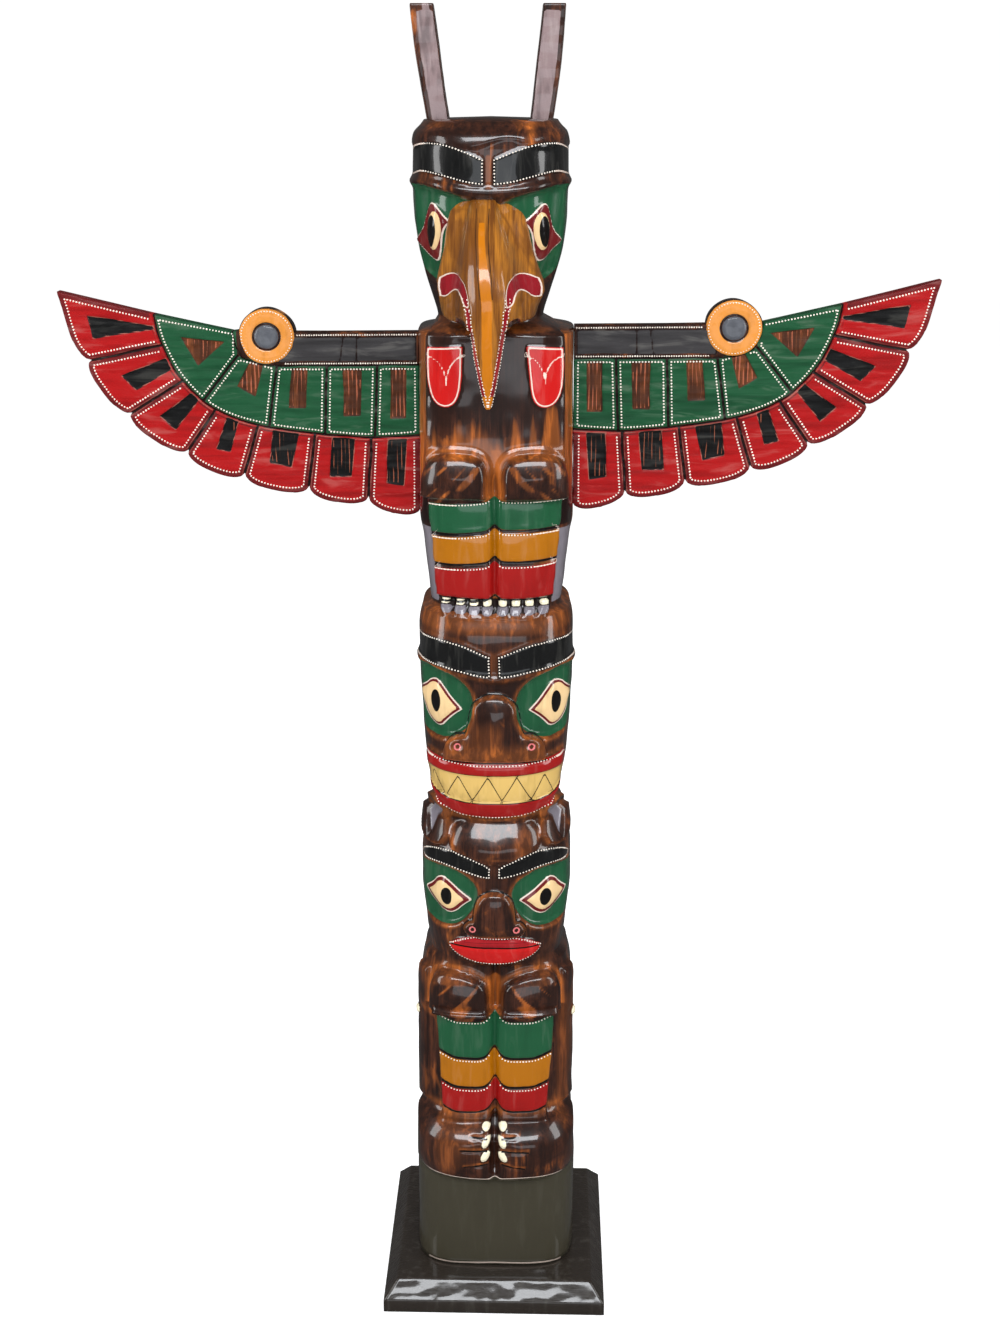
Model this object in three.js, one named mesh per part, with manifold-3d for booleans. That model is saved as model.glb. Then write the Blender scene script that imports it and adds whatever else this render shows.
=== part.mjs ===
// A carved and painted totem pole: one log worked into three figures, with a beak, two wings,
// two horns and a square plinth joined to it. Millimetres, +Z up, the figures face -Y.
// The origin is the centre of the plinth's underside.
import * as THREE from "three";
import Module from "manifold-3d";

const wasm = await Module();
wasm.setup();
const { Manifold, Mesh } = wasm;

// ---- driving sizes
const gap = 0.3; // left between pieces that touch

const plinth = { side: 258.5, top: 227, edge: 17, height: 35.2 };

const logFoot = plinth.height + gap;
const logTop = 1380;
const headShift = -6; // the eagle's head stands a little to one side

// Sections of the log: height, half width, depth in front, depth behind, squareness.
const figures = {
  blackFoot: [
    [logFoot, 94, 88, 86, 4],
    [149, 94, 88, 86, 4],
  ],
  bearFeet: [
    [153, 90, 93, 84, 3.2],
    [203, 90, 91, 84, 3.2],
    [230, 88, 70, 82, 3.2],
  ],
  bearBody: [
    [330, 88, 66, 80, 3.2],
    [388, 89, 66, 80, 3.2],
    [412, 84, 68, 80, 2.8],
  ],
  bearHead: [
    [420, 78, 74, 80, 2.6],
    [450, 82, 82, 80, 2.6],
    [500, 87.5, 84, 80, 2.6],
    [545, 87, 84, 80, 2.6],
    [562, 83, 80, 80, 2.6],
    [592, 76, 72, 79, 2.6],
  ],
  beastHead: [
    [597, 70, 76, 78, 2.6],
    [630, 76, 86, 80, 2.6],
    [660, 81, 88, 82, 2.6],
    [700, 84, 88, 82, 2.6],
    [765, 88, 88, 82, 2.6],
    [812, 88, 88, 82, 2.8],
    [836, 83, 82, 80, 3],
  ],
  eagleLegs: [
    [842, 74, 64, 78, 3.2],
    [905, 81, 64, 78, 3.2],
    [922, 83, 64, 78, 3.2],
  ],
  chest: [
    [937, 86, 62, 78, 3.6],
    [1149, 86, 62, 78, 3.6],
    [1153, 70, 60, 70, 3],
  ],
  eagleHead: [
    [1166, 58, 60, 60, 2.6],
    [1205, 70, 74, 72, 2.6],
    [1240, 79.5, 82, 80, 2.6],
    [1270, 83.5, 86, 82, 2.6],
    [1300, 85, 88, 83, 2.6],
    [1352, 85, 88, 83, 2.6],
    [1371, 80, 82, 78, 2.6],
    [logTop, 74, 74, 72, 2.6],
  ],
};

// Relief on the log, mirrored about the front: distance round from the front, height,
// half size round, half size up, rise, softness of the edge, turn in degrees.
const relief = [
  [45, 192, 38, 34, 5, 12, 0], // bear's feet
  [41, 286, 34, 62, 8, 12, 0], // bear's legs
  [41, 374, 33, 33, 17, 14, 0], // bear's knees
  [90, 310, 13, 82, 5, 7, 0], // bear's arms
  [27, 440, 50, 22, 5, 8, 0], // bear's muzzle
  [0, 484, 25, 29, 13, 9, 0], // bear's nose
  [25, 466, 11, 11, 7, 6, 0],
  [68, 500, 44, 33, -7, 8, 0], // bear's eye hollows
  [61, 500, 31, 17, 6, 9, 22],
  [55, 546, 52, 13, 4, 6, -4], // bear's brows
  [84, 592, 21, 27, 9, 8, 0], // bear's ears
  [40, 606, 64, 8, 6, 6, 3], // beast's lips
  [50, 664, 68, 8, 6, 6, 0],
  [0, 712, 31, 42, 18, 10, 0], // beast's nose
  [43, 687, 15, 15, 11, 8, 0],
  [80, 733, 46, 37, -8, 8, 0], // beast's eye hollows
  [71, 731, 29, 22, 6, 9, 30],
  [64, 793, 58, 14, 3, 5, 8], // beast's brows
  [36, 900, 36, 54, 13, 9, 0], // eagle's legs
  [41, 984, 34, 30, 17, 12, 0], // eagle's knees
  [30, 1088, 52, 66, 7, 8, 0], // chest
  [82, 1256, 44, 40, -9, 8, 0], // eagle's eye hollows
  [66, 1262, 28, 27, 7, 9, 50],
  [60, 1334, 56, 22, 3, 5, 4], // eagle's brows
];

const frontPitch = 7.5; // spacing of the log's columns across the front
const frontColumns = 14;
const backColumns = 7;
const rowPitch = 15.5;

const beak = {
  seat: -66, // plane the beak's back stands on
  top: 1297,
  cheekEnd: 1168,
  tip: 1078,
  ridge: 6, // half width of the flat down its front
  half: [
    // height and half width of the arch where it lies against the face
    [1168, 48],
    [1200, 57],
    [1210, 57],
    [1226, 53],
    [1243, 49],
    [1262, 46],
    [1275, 43],
    [1284, 40],
    [1290, 36],
    [1294, 31],
    [1297, 21],
  ],
};

const wing = {
  root: 86 + gap,
  board: 8, // half thickness of the board behind the feathers
  span: 402.5,
  lift: 4, // the two wings aren't level: at the root one stands this much higher, the other lower
  liftAtTip: 8,
};

const horn = {
  foot: 1362,
  top: 1500,
  width: 26,
  thick: 12,
  depth: -12,
  left: { x: -60, lean: -8.2 },
  right: { x: 47, lean: 6.4 },
};

// ---- helpers
const clamp = (v, a, b) => Math.min(b, Math.max(a, v));
const ease = (v) => {
  const t = clamp(v, 0, 1);
  return t * t * (3 - 2 * t);
};

// Piecewise straight values of a table whose first column is the key.
function lookUp(table, key) {
  const last = table[table.length - 1];
  if (key <= table[0][0]) return table[0].slice(1);
  if (key >= last[0]) return last.slice(1);
  const i = table.findIndex((row) => row[0] > key);
  const [a, b] = [table[i - 1], table[i]];
  const t = (key - a[0]) / (b[0] - a[0]);
  return a.slice(1).map((v, k) => v + (b[k + 1] - v) * t);
}

// A closed surface through rings of equal count, each a list of [x, y, z].
function loft(rings) {
  const n = rings[0].length;
  const points = rings.flat(2);
  const faces = [];
  for (let r = 0; r + 1 < rings.length; r++) {
    for (let i = 0; i < n; i++) {
      const a = r * n + i;
      const b = r * n + ((i + 1) % n);
      faces.push(a, b, b + n, a, b + n, a + n);
    }
  }
  const middle = (ring) =>
    [0, 1, 2].map((k) => ring.reduce((sum, p) => sum + p[k], 0) / n);
  const low = points.length / 3;
  points.push(...middle(rings[0]), ...middle(rings[rings.length - 1]));
  const start = (rings.length - 1) * n;
  for (let i = 0; i < n; i++) {
    faces.push(low, (i + 1) % n, i);
    faces.push(low + 1, start + i, start + ((i + 1) % n));
  }
  return new Manifold(
    new Mesh({
      numProp: 3,
      vertProperties: new Float32Array(points),
      triVerts: new Uint32Array(faces),
    }),
  );
}

function solidFrom(geometry) {
  const bare = new THREE.BufferGeometry();
  const flat = geometry.index ? geometry.toNonIndexed() : geometry;
  bare.setAttribute("position", flat.getAttribute("position"));
  const mesh = new Mesh({
    numProp: 3,
    vertProperties: new Float32Array(bare.attributes.position.array),
    triVerts: new Uint32Array(bare.attributes.position.count).map((_, i) => i),
  });
  mesh.merge();
  return new Manifold(mesh);
}

function geometryFrom(solid) {
  const mesh = solid.getMesh();
  const g = new THREE.BufferGeometry();
  g.setAttribute("position", new THREE.BufferAttribute(new Float32Array(mesh.vertProperties), 3));
  g.setIndex(new THREE.BufferAttribute(new Uint32Array(mesh.triVerts), 1));
  g.computeVertexNormals();
  return g;
}

// ---- the log
const sections = Object.values(figures).flat();

function superPoint(angle, [halfWidth, front, back, square]) {
  const s = Math.sin(angle);
  const c = Math.cos(angle);
  const p = 2 / square;
  const x = halfWidth * Math.sign(s) * Math.abs(s) ** p;
  const y = (c > 0 ? -front : back) * Math.abs(c) ** p;
  return [x, y];
}

// Distances round half of a section from its front, with the points met.
function halfRound(section, steps = 120) {
  const walk = [];
  let run = 0;
  let before = superPoint(0, section);
  for (let i = 0; i <= steps; i++) {
    const p = superPoint((Math.PI * i) / steps, section);
    run += Math.hypot(p[0] - before[0], p[1] - before[1]);
    walk.push([run, p[0], p[1]]);
    before = p;
  }
  return walk;
}

function reliefAt(round, z) {
  let rise = 0;
  for (const [w0, z0, hw, hz, height, soft, turn] of relief) {
    const a = THREE.MathUtils.degToRad(turn);
    const dw = round - w0;
    const dz = z - z0;
    const u = (dw * Math.cos(a) + dz * Math.sin(a)) / hw;
    const v = (dz * Math.cos(a) - dw * Math.sin(a)) / hz;
    const q = (u ** 4 + v ** 4) ** 0.25;
    rise += height * ease(((1 - q) * Math.min(hw, hz)) / soft + 0.5);
  }
  return rise;
}

function logRing(z) {
  const section = lookUp(sections, z);
  const walk = halfRound(section);
  const half = walk[walk.length - 1][0];
  const stops = [];
  for (let i = 0; i <= frontColumns; i++) stops.push(i * frontPitch);
  const edge = frontColumns * frontPitch;
  for (let i = 1; i <= backColumns; i++) stops.push(edge + ((half - edge) * i) / backColumns);
  const shift = z > 1150 ? headShift : 0;
  const side = stops.map((w) => {
    const [x, y] = lookUp(walk, w);
    const [xa, ya] = lookUp(walk, Math.max(0, w - 1));
    const [xb, yb] = lookUp(walk, Math.min(half, w + 1));
    const length = Math.hypot(xb - xa, yb - ya) || 1;
    const rise = reliefAt(w, z);
    return [x + ((yb - ya) / length) * rise * (w > 0 ? 1 : 0), y - ((xb - xa) / length) * rise];
  });
  const right = side.map(([x, y]) => [x + shift, y, z]);
  const left = side.slice(1, -1).map(([x, y]) => [shift - x, y, z]);
  return [...right, ...left.reverse()];
}

function makeLog() {
  const heights = [];
  sections.forEach(([z], i) => {
    if (i > 0) {
      const from = sections[i - 1][0];
      const count = Math.max(1, Math.round((z - from) / rowPitch));
      for (let k = 1; k < count; k++) heights.push(from + ((z - from) * k) / count);
    }
    heights.push(z);
  });
  return loft(heights.map(logRing));
}

// ---- the beak: a wedge that narrows to a flat ridge, hooked down to a tip
function widthAt(table, z) {
  let i = 1;
  while (i < table.length - 1 && table[i][0] < z) i += 1;
  const [[z0, a], [z1, b]] = [table[i - 1], table[i]];
  return a + (b - a) * clamp((z - z0) / (z1 - z0), 0, 1);
}

function beakRing(z, grow) {
  const { top, cheekEnd, tip, ridge } = beak;
  const down = clamp((top - z) / (top - 1190), 0, 1);
  const swell = Math.sin((down * Math.PI) / 2);
  const hook = clamp((cheekEnd - z) / (cheekEnd - tip), 0, 1);
  const inHook = z < cheekEnd;
  const front = (z > 1190 ? -92 - 66 * swell ** 0.8 : -158 + 40 * ((1190 - z) / (1190 - tip)) ** 1.7) - grow;
  const back = inHook ? -104 - 10 * Math.sin(Math.PI * hook) : beak.seat + grow;
  const wide = (inHook ? 3 + 17 * (1 - hook) ** 0.8 : widthAt(beak.half, z)) + grow;
  const mid = inHook ? wide : Math.min(wide * 0.86, 14 + 20 * swell + grow);
  const flat = Math.min(ridge, wide * 0.6);
  const half = [
    [flat, front],
    [flat + (mid - flat) * 0.5, front + (back - front) * 0.08],
    [flat + (mid - flat) * 0.85, front + (back - front) * 0.25],
    [mid, front + (back - front) * 0.5],
    [wide, front + (back - front) * (inHook ? 0.75 : 0.8)],
    [wide * (inHook ? 0.8 : 1), back],
  ];
  const right = half.map(([x, y]) => [x + headShift, y, z]);
  const left = half.map(([x, y]) => [headShift - x, y, z]).reverse();
  return [...right, ...left];
}

function makeBeak(grow = 0) {
  const { top, cheekEnd, tip } = beak;
  const heights = [tip - grow];
  for (let z = tip + 10; z < cheekEnd - 4; z += 11) heights.push(z);
  heights.push(cheekEnd - 0.5 - grow);
  heights.push(cheekEnd - grow);
  for (let z = cheekEnd + 9; z < top - 3; z += 9) heights.push(z);
  heights.push(top - 2, top + grow);
  return loft(heights.map((z) => beakRing(z, grow)));
}

// ---- the wings, drawn for the right-hand side and mirrored for the left
// Lines from the root to the tip, one stop between each pair of long feathers: the top edge,
// the lower edge of the arm, the lower edge of the short feathers, the ends of the long ones.
const wingLines = {
  top: [
    [wing.root, 1148.5],
    [133, 1148.5],
    [190, 1148.5],
    [238, 1149],
    [258, 1149.5],
    [272, 1150],
    [281, 1150.5],
    [286, 1151],
  ],
  arm: [
    [wing.root, 1111.5],
    [133, 1111.5],
    [189.5, 1111.5],
    [241, 1111.5],
    [265, 1113],
    [284, 1121],
    [291, 1135],
    [294, 1149],
  ],
  short: [
    [wing.root, 1031.5],
    [140.5, 1028.7],
    [204, 1034],
    [268, 1044],
    [316, 1061.7],
    [351.5, 1095],
    [373, 1134.7],
    [382, 1169.5],
  ],
  long: [
    [wing.root, 946.4],
    [145, 960],
    [212.4, 972],
    [285, 988],
    [348, 1015],
    [411, 1058],
    [454, 1118.5],
    [wing.root + wing.span, 1196],
  ],
};
const wingFace = { arm: 12, short: 10, long: 8, groove: 2, edge: 4, droop: 9, droopAt: 0.3 };
const roundel = { left: 255.5, right: 262.5, z: 1144.8, radius: 31.5, rise: 13, boss: 14.5, bossRise: 15 };

function pointOn(line, stop, share) {
  const a = line[stop];
  const b = line[Math.min(stop + 1, line.length - 1)];
  return [a[0] + (b[0] - a[0]) * share, a[1] + (b[1] - a[1]) * share];
}

const between = (a, b, share) => [a[0] + (b[0] - a[0]) * share, a[1] + (b[1] - a[1]) * share];

// One closed ring round the board, from its top edge down the face and back up behind.
function wingRing(stop, share) {
  const { top, arm, short, long } = wingLines;
  const [t, g, i] = [top, arm, short].map((line) => pointOn(line, stop, share));
  const o = pointOn(long, stop, share);
  const reach = Math.hypot(o[0] - i[0], o[1] - i[1]);
  const { droop, droopAt } = wingFace;
  const fall = droop * (share < droopAt ? share / droopAt : (1 - share) / (1 - droopAt));
  const end = between(i, o, 1 + fall / reach);
  const cut = share === 0 ? wingFace.groove : 0;
  const face = [
    [between(t, g, 0), wingFace.arm - 3],
    [between(t, g, 0.12), wingFace.arm],
    [between(t, g, 0.9), wingFace.arm],
    [between(t, g, 1), wingFace.short],
    [between(g, i, 0.5), wingFace.short - cut],
    [between(g, i, 0.96), wingFace.short - cut],
    [between(g, i, 1), wingFace.long - cut],
    [between(i, end, 0.5), wingFace.long - cut],
    [between(i, end, 0.93), wingFace.long - cut],
    [end, wingFace.edge],
  ];
  const front = face.map(([[x, z], rise]) => [x, -rise, z]);
  const behind = [end, i, g, t].map(([x, z]) => [x, wing.board, z]);
  return [...front, ...behind];
}

function makeWing(side) {
  const rings = [];
  const stops = wingLines.long.length - 1;
  for (let stop = 0; stop < stops; stop++) {
    for (const share of [0, 0.08, 0.3, 0.6, 0.92]) rings.push(wingRing(stop, share));
  }
  rings.push(wingRing(stops, 0));
  const board = loft(rings);
  const disc = (radius, rise) =>
    Manifold.cylinder(rise + wing.board - 2, radius, radius - 1.5, 32)
      .rotate([90, 0, 0])
      .translate([side > 0 ? roundel.right : roundel.left, wing.board - 2, roundel.z]);
  const whole = Manifold.union([
    board,
    disc(roundel.radius, roundel.rise),
    disc(roundel.boss, roundel.bossRise),
  ]);
  const placed = whole.warp((point) => {
    const share = (point[0] - wing.root) / wing.span;
    point[2] += side * (wing.lift + (wing.liftAtTip - wing.lift) * share);
  });
  return side > 0 ? placed : placed.mirror([1, 0, 0]);
}

// A flat slab from an outline in X and Z, its front at y = -depth and its back at y = 0.
function slab(outline, depth) {
  const shape = new THREE.Shape(outline.map(([x, z]) => new THREE.Vector2(x, z)));
  const made = new THREE.ExtrudeGeometry(shape, { depth, bevelEnabled: false });
  made.rotateX(Math.PI / 2);
  return solidFrom(made);
}

// ---- horns and plinth
function makeHorn({ x, lean }, grow = 0) {
  const half = horn.width / 2 + grow;
  const low = horn.foot - grow;
  const slope = Math.tan(THREE.MathUtils.degToRad(lean));
  const move = (z) => x + (z - horn.foot) * slope;
  const outline = [
    [move(low) - half, low],
    [move(low) + half, low],
    [move(horn.top) + half, horn.top],
    [move(horn.top) - half, horn.top],
  ];
  const thick = horn.thick + 2 * grow;
  return slab(outline, thick).translate([0, horn.depth + thick / 2, 0]);
}

function makePlinth() {
  const square = (side, z) => [
    [side / 2, -side / 2, z],
    [side / 2, side / 2, z],
    [-side / 2, side / 2, z],
    [-side / 2, -side / 2, z],
  ];
  return loft([
    square(plinth.side, 0),
    square(plinth.side, plinth.edge),
    square(plinth.top, plinth.height),
  ]);
}

// ---- putting it together
const pockets = [
  makeHorn(horn.left, gap),
  makeHorn(horn.right, gap),
  makeBeak(gap),
];
const log = pockets.reduce((solid, pocket) => solid.subtract(pocket), makeLog());

const lacquer = (color, roughness) =>
  new THREE.MeshStandardMaterial({ color, roughness, metalness: 0 });

const parts = [
  ["pole", log, lacquer(0x5a2f1b, 0.25)],
  ["beak", makeBeak(), lacquer(0xb97820, 0.3)],
  ["wing_left", makeWing(-1), lacquer(0xb2202a, 0.4)],
  ["wing_right", makeWing(1), lacquer(0xb2202a, 0.4)],
  ["horn_left", makeHorn(horn.left), lacquer(0x9a8684, 0.2)],
  ["horn_right", makeHorn(horn.right), lacquer(0x9a8684, 0.2)],
  ["plinth", makePlinth(), lacquer(0x3c3a33, 0.3)],
];

const totem = new THREE.Group();
totem.name = "totem_pole";
for (const [name, solid, material] of parts) {
  const mesh = new THREE.Mesh(geometryFrom(solid), material);
  mesh.name = name;
  totem.add(mesh);
}

export default totem;
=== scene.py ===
import bpy
import bmesh
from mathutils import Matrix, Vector
import math
import numpy as np


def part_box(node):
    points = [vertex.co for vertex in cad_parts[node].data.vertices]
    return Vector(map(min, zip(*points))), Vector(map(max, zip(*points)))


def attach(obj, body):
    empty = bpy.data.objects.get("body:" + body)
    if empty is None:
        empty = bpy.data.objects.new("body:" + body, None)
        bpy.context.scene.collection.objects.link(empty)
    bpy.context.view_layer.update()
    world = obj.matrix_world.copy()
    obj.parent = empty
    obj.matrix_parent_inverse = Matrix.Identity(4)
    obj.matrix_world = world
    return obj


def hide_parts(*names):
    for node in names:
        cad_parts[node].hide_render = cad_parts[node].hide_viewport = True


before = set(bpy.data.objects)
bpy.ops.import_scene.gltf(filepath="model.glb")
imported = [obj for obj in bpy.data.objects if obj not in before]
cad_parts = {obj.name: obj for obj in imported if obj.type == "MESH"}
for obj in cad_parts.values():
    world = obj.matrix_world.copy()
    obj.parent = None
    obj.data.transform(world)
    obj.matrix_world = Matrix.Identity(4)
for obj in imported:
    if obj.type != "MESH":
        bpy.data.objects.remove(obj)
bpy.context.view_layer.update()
print("frame loaded:", sorted(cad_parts))

# all shapes below are worked out in millimetres and turned into metres when a mesh is made


def ease(v):
    t = np.clip(v, 0, 1)
    return t * t * (3 - 2 * t)


def lattice(points, size, seed):
    # smooth value noise from -1 to 1, the same on every run
    q = np.asarray(points, float) / size
    cell = np.floor(q).astype(np.int64)
    f = q - cell
    f = f * f * (3 - 2 * f)
    total = np.zeros(len(q))
    for corner in np.ndindex(2, 2, 2):
        h = np.zeros(len(q), np.int64)
        share = np.ones(len(q))
        for axis, prime in enumerate((73856093, 19349663, 83492791)):
            h = h ^ (cell[:, axis] + corner[axis]) * prime
            share = share * (f[:, axis] if corner[axis] else 1 - f[:, axis])
        h = (h ^ (seed * 668265263)) & 0x7FFFFFFF
        h = ((h ^ (h >> 13)) * 1274126177) & 0x7FFFFFFF
        h = ((h ^ (h >> 15)) * 73244475) & 0x7FFFFFFF
        total += share * (((h >> 8) & 0xFFFF) / 32767.5 - 1)
    return total


def rounded(outline, passes=2, closed=True):
    # cuts the corners of an outline
    p = np.asarray(outline, float)
    for _ in range(passes):
        q = np.roll(p, -1, 0) if closed else p[1:]
        a = p if closed else p[:-1]
        mixed = np.empty((2 * len(a), 2))
        mixed[0::2] = 0.75 * a + 0.25 * q
        mixed[1::2] = 0.25 * a + 0.75 * q
        p = mixed if closed else np.vstack([p[:1], mixed, p[-1:]])
    return p


def nearest(a, b, starts, ends):
    # squared distance to the nearest of some straight runs
    best = np.full(a.shape, 1e9)
    for (x0, z0), (x1, z1) in zip(starts, ends):
        dx, dz = x1 - x0, z1 - z0
        t = np.clip(((a - x0) * dx + (b - z0) * dz) / (dx * dx + dz * dz + 1e-9), 0, 1)
        best = np.minimum(best, (a - x0 - t * dx) ** 2 + (b - z0 - t * dz) ** 2)
    return best


def withinReach(w, z, pts, reach):
    low, high = pts.min(0) - reach, pts.max(0) + reach
    return (w > low[0]) & (w < high[0]) & (z > low[1]) & (z < high[1])


def inside(w, z, outline, reach=16.0):
    # signed distance to a closed outline, positive inside it
    pts = np.asarray(outline, float)
    out = np.full(w.shape, -reach)
    near = withinReach(w, z, pts, reach)
    if not near.any():
        return out
    a, b = w[near], z[near]
    ends = np.roll(pts, -1, 0)
    d = np.sqrt(nearest(a, b, pts, ends))
    odd = np.zeros(a.shape, bool)
    for (x0, z0), (x1, z1) in zip(pts, ends):
        if z0 != z1:
            odd ^= ((z0 > b) != (z1 > b)) & (a < (x1 - x0) * (b - z0) / (z1 - z0) + x0)
    out[near] = np.where(odd, d, -d)
    return np.maximum(out, -reach)


def nearLine(w, z, line, reach=10.0):
    # distance to an open line
    pts = np.asarray(line, float)
    out = np.full(w.shape, reach)
    near = withinReach(w, z, pts, reach)
    if near.any():
        out[near] = np.minimum(np.sqrt(nearest(w[near], z[near], pts[:-1], pts[1:])), reach)
    return out


def oval(w, z, centre, radii, turn=0.0):
    # about the distance inside an oval, positive inside
    c, s = math.cos(math.radians(turn)), math.sin(math.radians(turn))
    dw, dz = w - centre[0], z - centre[1]
    u, v = dw * c + dz * s, dz * c - dw * s
    k = np.sqrt((u / radii[0]) ** 2 + (v / radii[1]) ** 2) + 1e-6
    return (1 - k) * np.sqrt(u * u + v * v) / k + np.where(k < 0.05, min(radii), 0)


def mirrored(upper, lower=()):
    # a closed outline from its right half: from the right end over the top, then under it
    left = [(-x, z) for x, z in upper]
    right = [(x, z) for x, z in upper[::-1] if x]
    return left + right + list(lower) + [(-x, z) for x, z in lower[::-1] if x]


def alongPath(path, pitch, closed=True):
    # points at an even pitch along a path
    p = np.asarray(path, float)
    if closed:
        p = np.vstack([p, p[:1]])
    step = np.hypot(*np.diff(p, axis=0).T)
    run = np.concatenate([[0], np.cumsum(step)])
    count = max(2, int(round(run[-1] / pitch)))
    at = np.linspace(0, run[-1], count, endpoint=not closed)
    return np.stack([np.interp(at, run, p[:, 0]), np.interp(at, run, p[:, 1])], 1)


def inset(outline, depth):
    # the outline moved inwards, without the loops this makes at corners
    p = alongPath(outline, 1.2)
    ahead, back = np.roll(p, -1, 0), np.roll(p, 1, 0)
    d = ahead - back
    n = np.stack([-d[:, 1], d[:, 0]], 1) / (np.hypot(*d.T)[:, None] + 1e-9)
    area = np.sum(p[:, 0] * ahead[:, 1] - ahead[:, 0] * p[:, 1])
    q = p + n * depth * (1 if area > 0 else -1)
    return q[inside(q[:, 0], q[:, 1], outline) > depth - 0.25]


def makeMesh(name, points, quads, fields=None, triangles=None):
    mesh = bpy.data.meshes.new(name)
    faces = np.asarray(quads).tolist()
    if triangles is not None:
        faces += np.asarray(triangles).tolist()
    mesh.from_pydata((np.asarray(points) * 0.001).tolist(), [], faces)
    for key, values in (fields or {}).items():
        layer = mesh.attributes.new(key, "FLOAT", "POINT")
        layer.data.foreach_set("value", np.asarray(values, np.float32))
    mesh.polygons.foreach_set("use_smooth", [True] * len(mesh.polygons))
    mesh.update()
    piece = bpy.data.objects.new(name, mesh)
    bpy.context.scene.collection.objects.link(piece)
    return piece


def ringQuads(rows, columns):
    # the sides of a stack of closed rings
    r, c = np.meshgrid(np.arange(rows - 1), np.arange(columns), indexing="ij")
    n = (c + 1) % columns
    corners = (r * columns + c, r * columns + n, (r + 1) * columns + n, (r + 1) * columns + c)
    return np.stack(corners, -1).reshape(-1, 4)


def endFans(rows, columns):
    # closes the stack with a fan at each end, round two points that follow the rings
    total = rows * columns
    last = total - columns
    low = [(total, (i + 1) % columns, i) for i in range(columns)]
    high = [(total + 1, last + i, last + (i + 1) % columns) for i in range(columns)]
    return low + high


def place(piece, material, slotName, *nodes):
    piece.data.materials.append(material)
    if nodes:
        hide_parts(*nodes)
    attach(piece, "root")
    return piece


# shader groups and materials

def newGroup(name, inputs, outputs):
    group = bpy.data.node_groups.new(name, "ShaderNodeTree")
    for label, kind, value in inputs:
        socket = group.interface.new_socket(label, in_out="INPUT", socket_type=kind)
        if value is not None:
            socket.default_value = value
    for label, kind in outputs:
        group.interface.new_socket(label, in_out="OUTPUT", socket_type=kind)
    return group, group.nodes.new("NodeGroupInput"), group.nodes.new("NodeGroupOutput")


def link(tree, start, end):
    tree.links.new(start, end)


def mathNode(tree, operation, a, b=None, c=None, clamp=False):
    node = tree.nodes.new("ShaderNodeMath")
    node.operation = operation
    node.use_clamp = clamp
    for i, v in enumerate((a, b, c)):
        if v is None:
            continue
        if isinstance(v, (int, float)):
            node.inputs[i].default_value = v
        else:
            link(tree, v, node.inputs[i])
    return node.outputs[0]


def mixColour(tree, share, a, b, blend="MIX"):
    node = tree.nodes.new("ShaderNodeMix")
    node.data_type = "RGBA"
    node.blend_type = blend
    for socket, v in ((node.inputs[0], share), (node.inputs[6], a), (node.inputs[7], b)):
        if isinstance(v, (int, float, tuple)):
            socket.default_value = v
        else:
            link(tree, v, socket)
    return node.outputs[2]


def stretch(tree, value, low, high, outLow=0.0, outHigh=1.0):
    node = tree.nodes.new("ShaderNodeMapRange")
    node.interpolation_type = "SMOOTHSTEP"
    link(tree, value, node.inputs[0])
    for i, v in enumerate((low, high, outLow, outHigh)):
        if isinstance(v, (int, float)):
            node.inputs[i + 1].default_value = v
        else:
            link(tree, v, node.inputs[i + 1])
    return node.outputs[0]


def noiseNode(tree, vector, scale, detail=3.0, rough=0.5, warp=0.0):
    node = tree.nodes.new("ShaderNodeTexNoise")
    node.inputs["Scale"].default_value = scale
    node.inputs["Detail"].default_value = detail
    node.inputs["Roughness"].default_value = rough
    node.inputs["Distortion"].default_value = warp
    link(tree, vector, node.inputs["Vector"])
    return node.outputs["Fac"]


def scaled(tree, vector, x, y, z):
    node = tree.nodes.new("ShaderNodeMapping")
    node.inputs["Scale"].default_value = (x, y, z)
    link(tree, vector, node.inputs["Vector"])
    return node.outputs["Vector"]


def rgb(r, g, b):
    # a colour as seen on a screen, 0 to 255, made linear for the shader
    return tuple(((v / 255 + 0.055) / 1.055) ** 2.4 if v > 10 else v / 3294 for v in (r, g, b)) + (1.0,)


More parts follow.
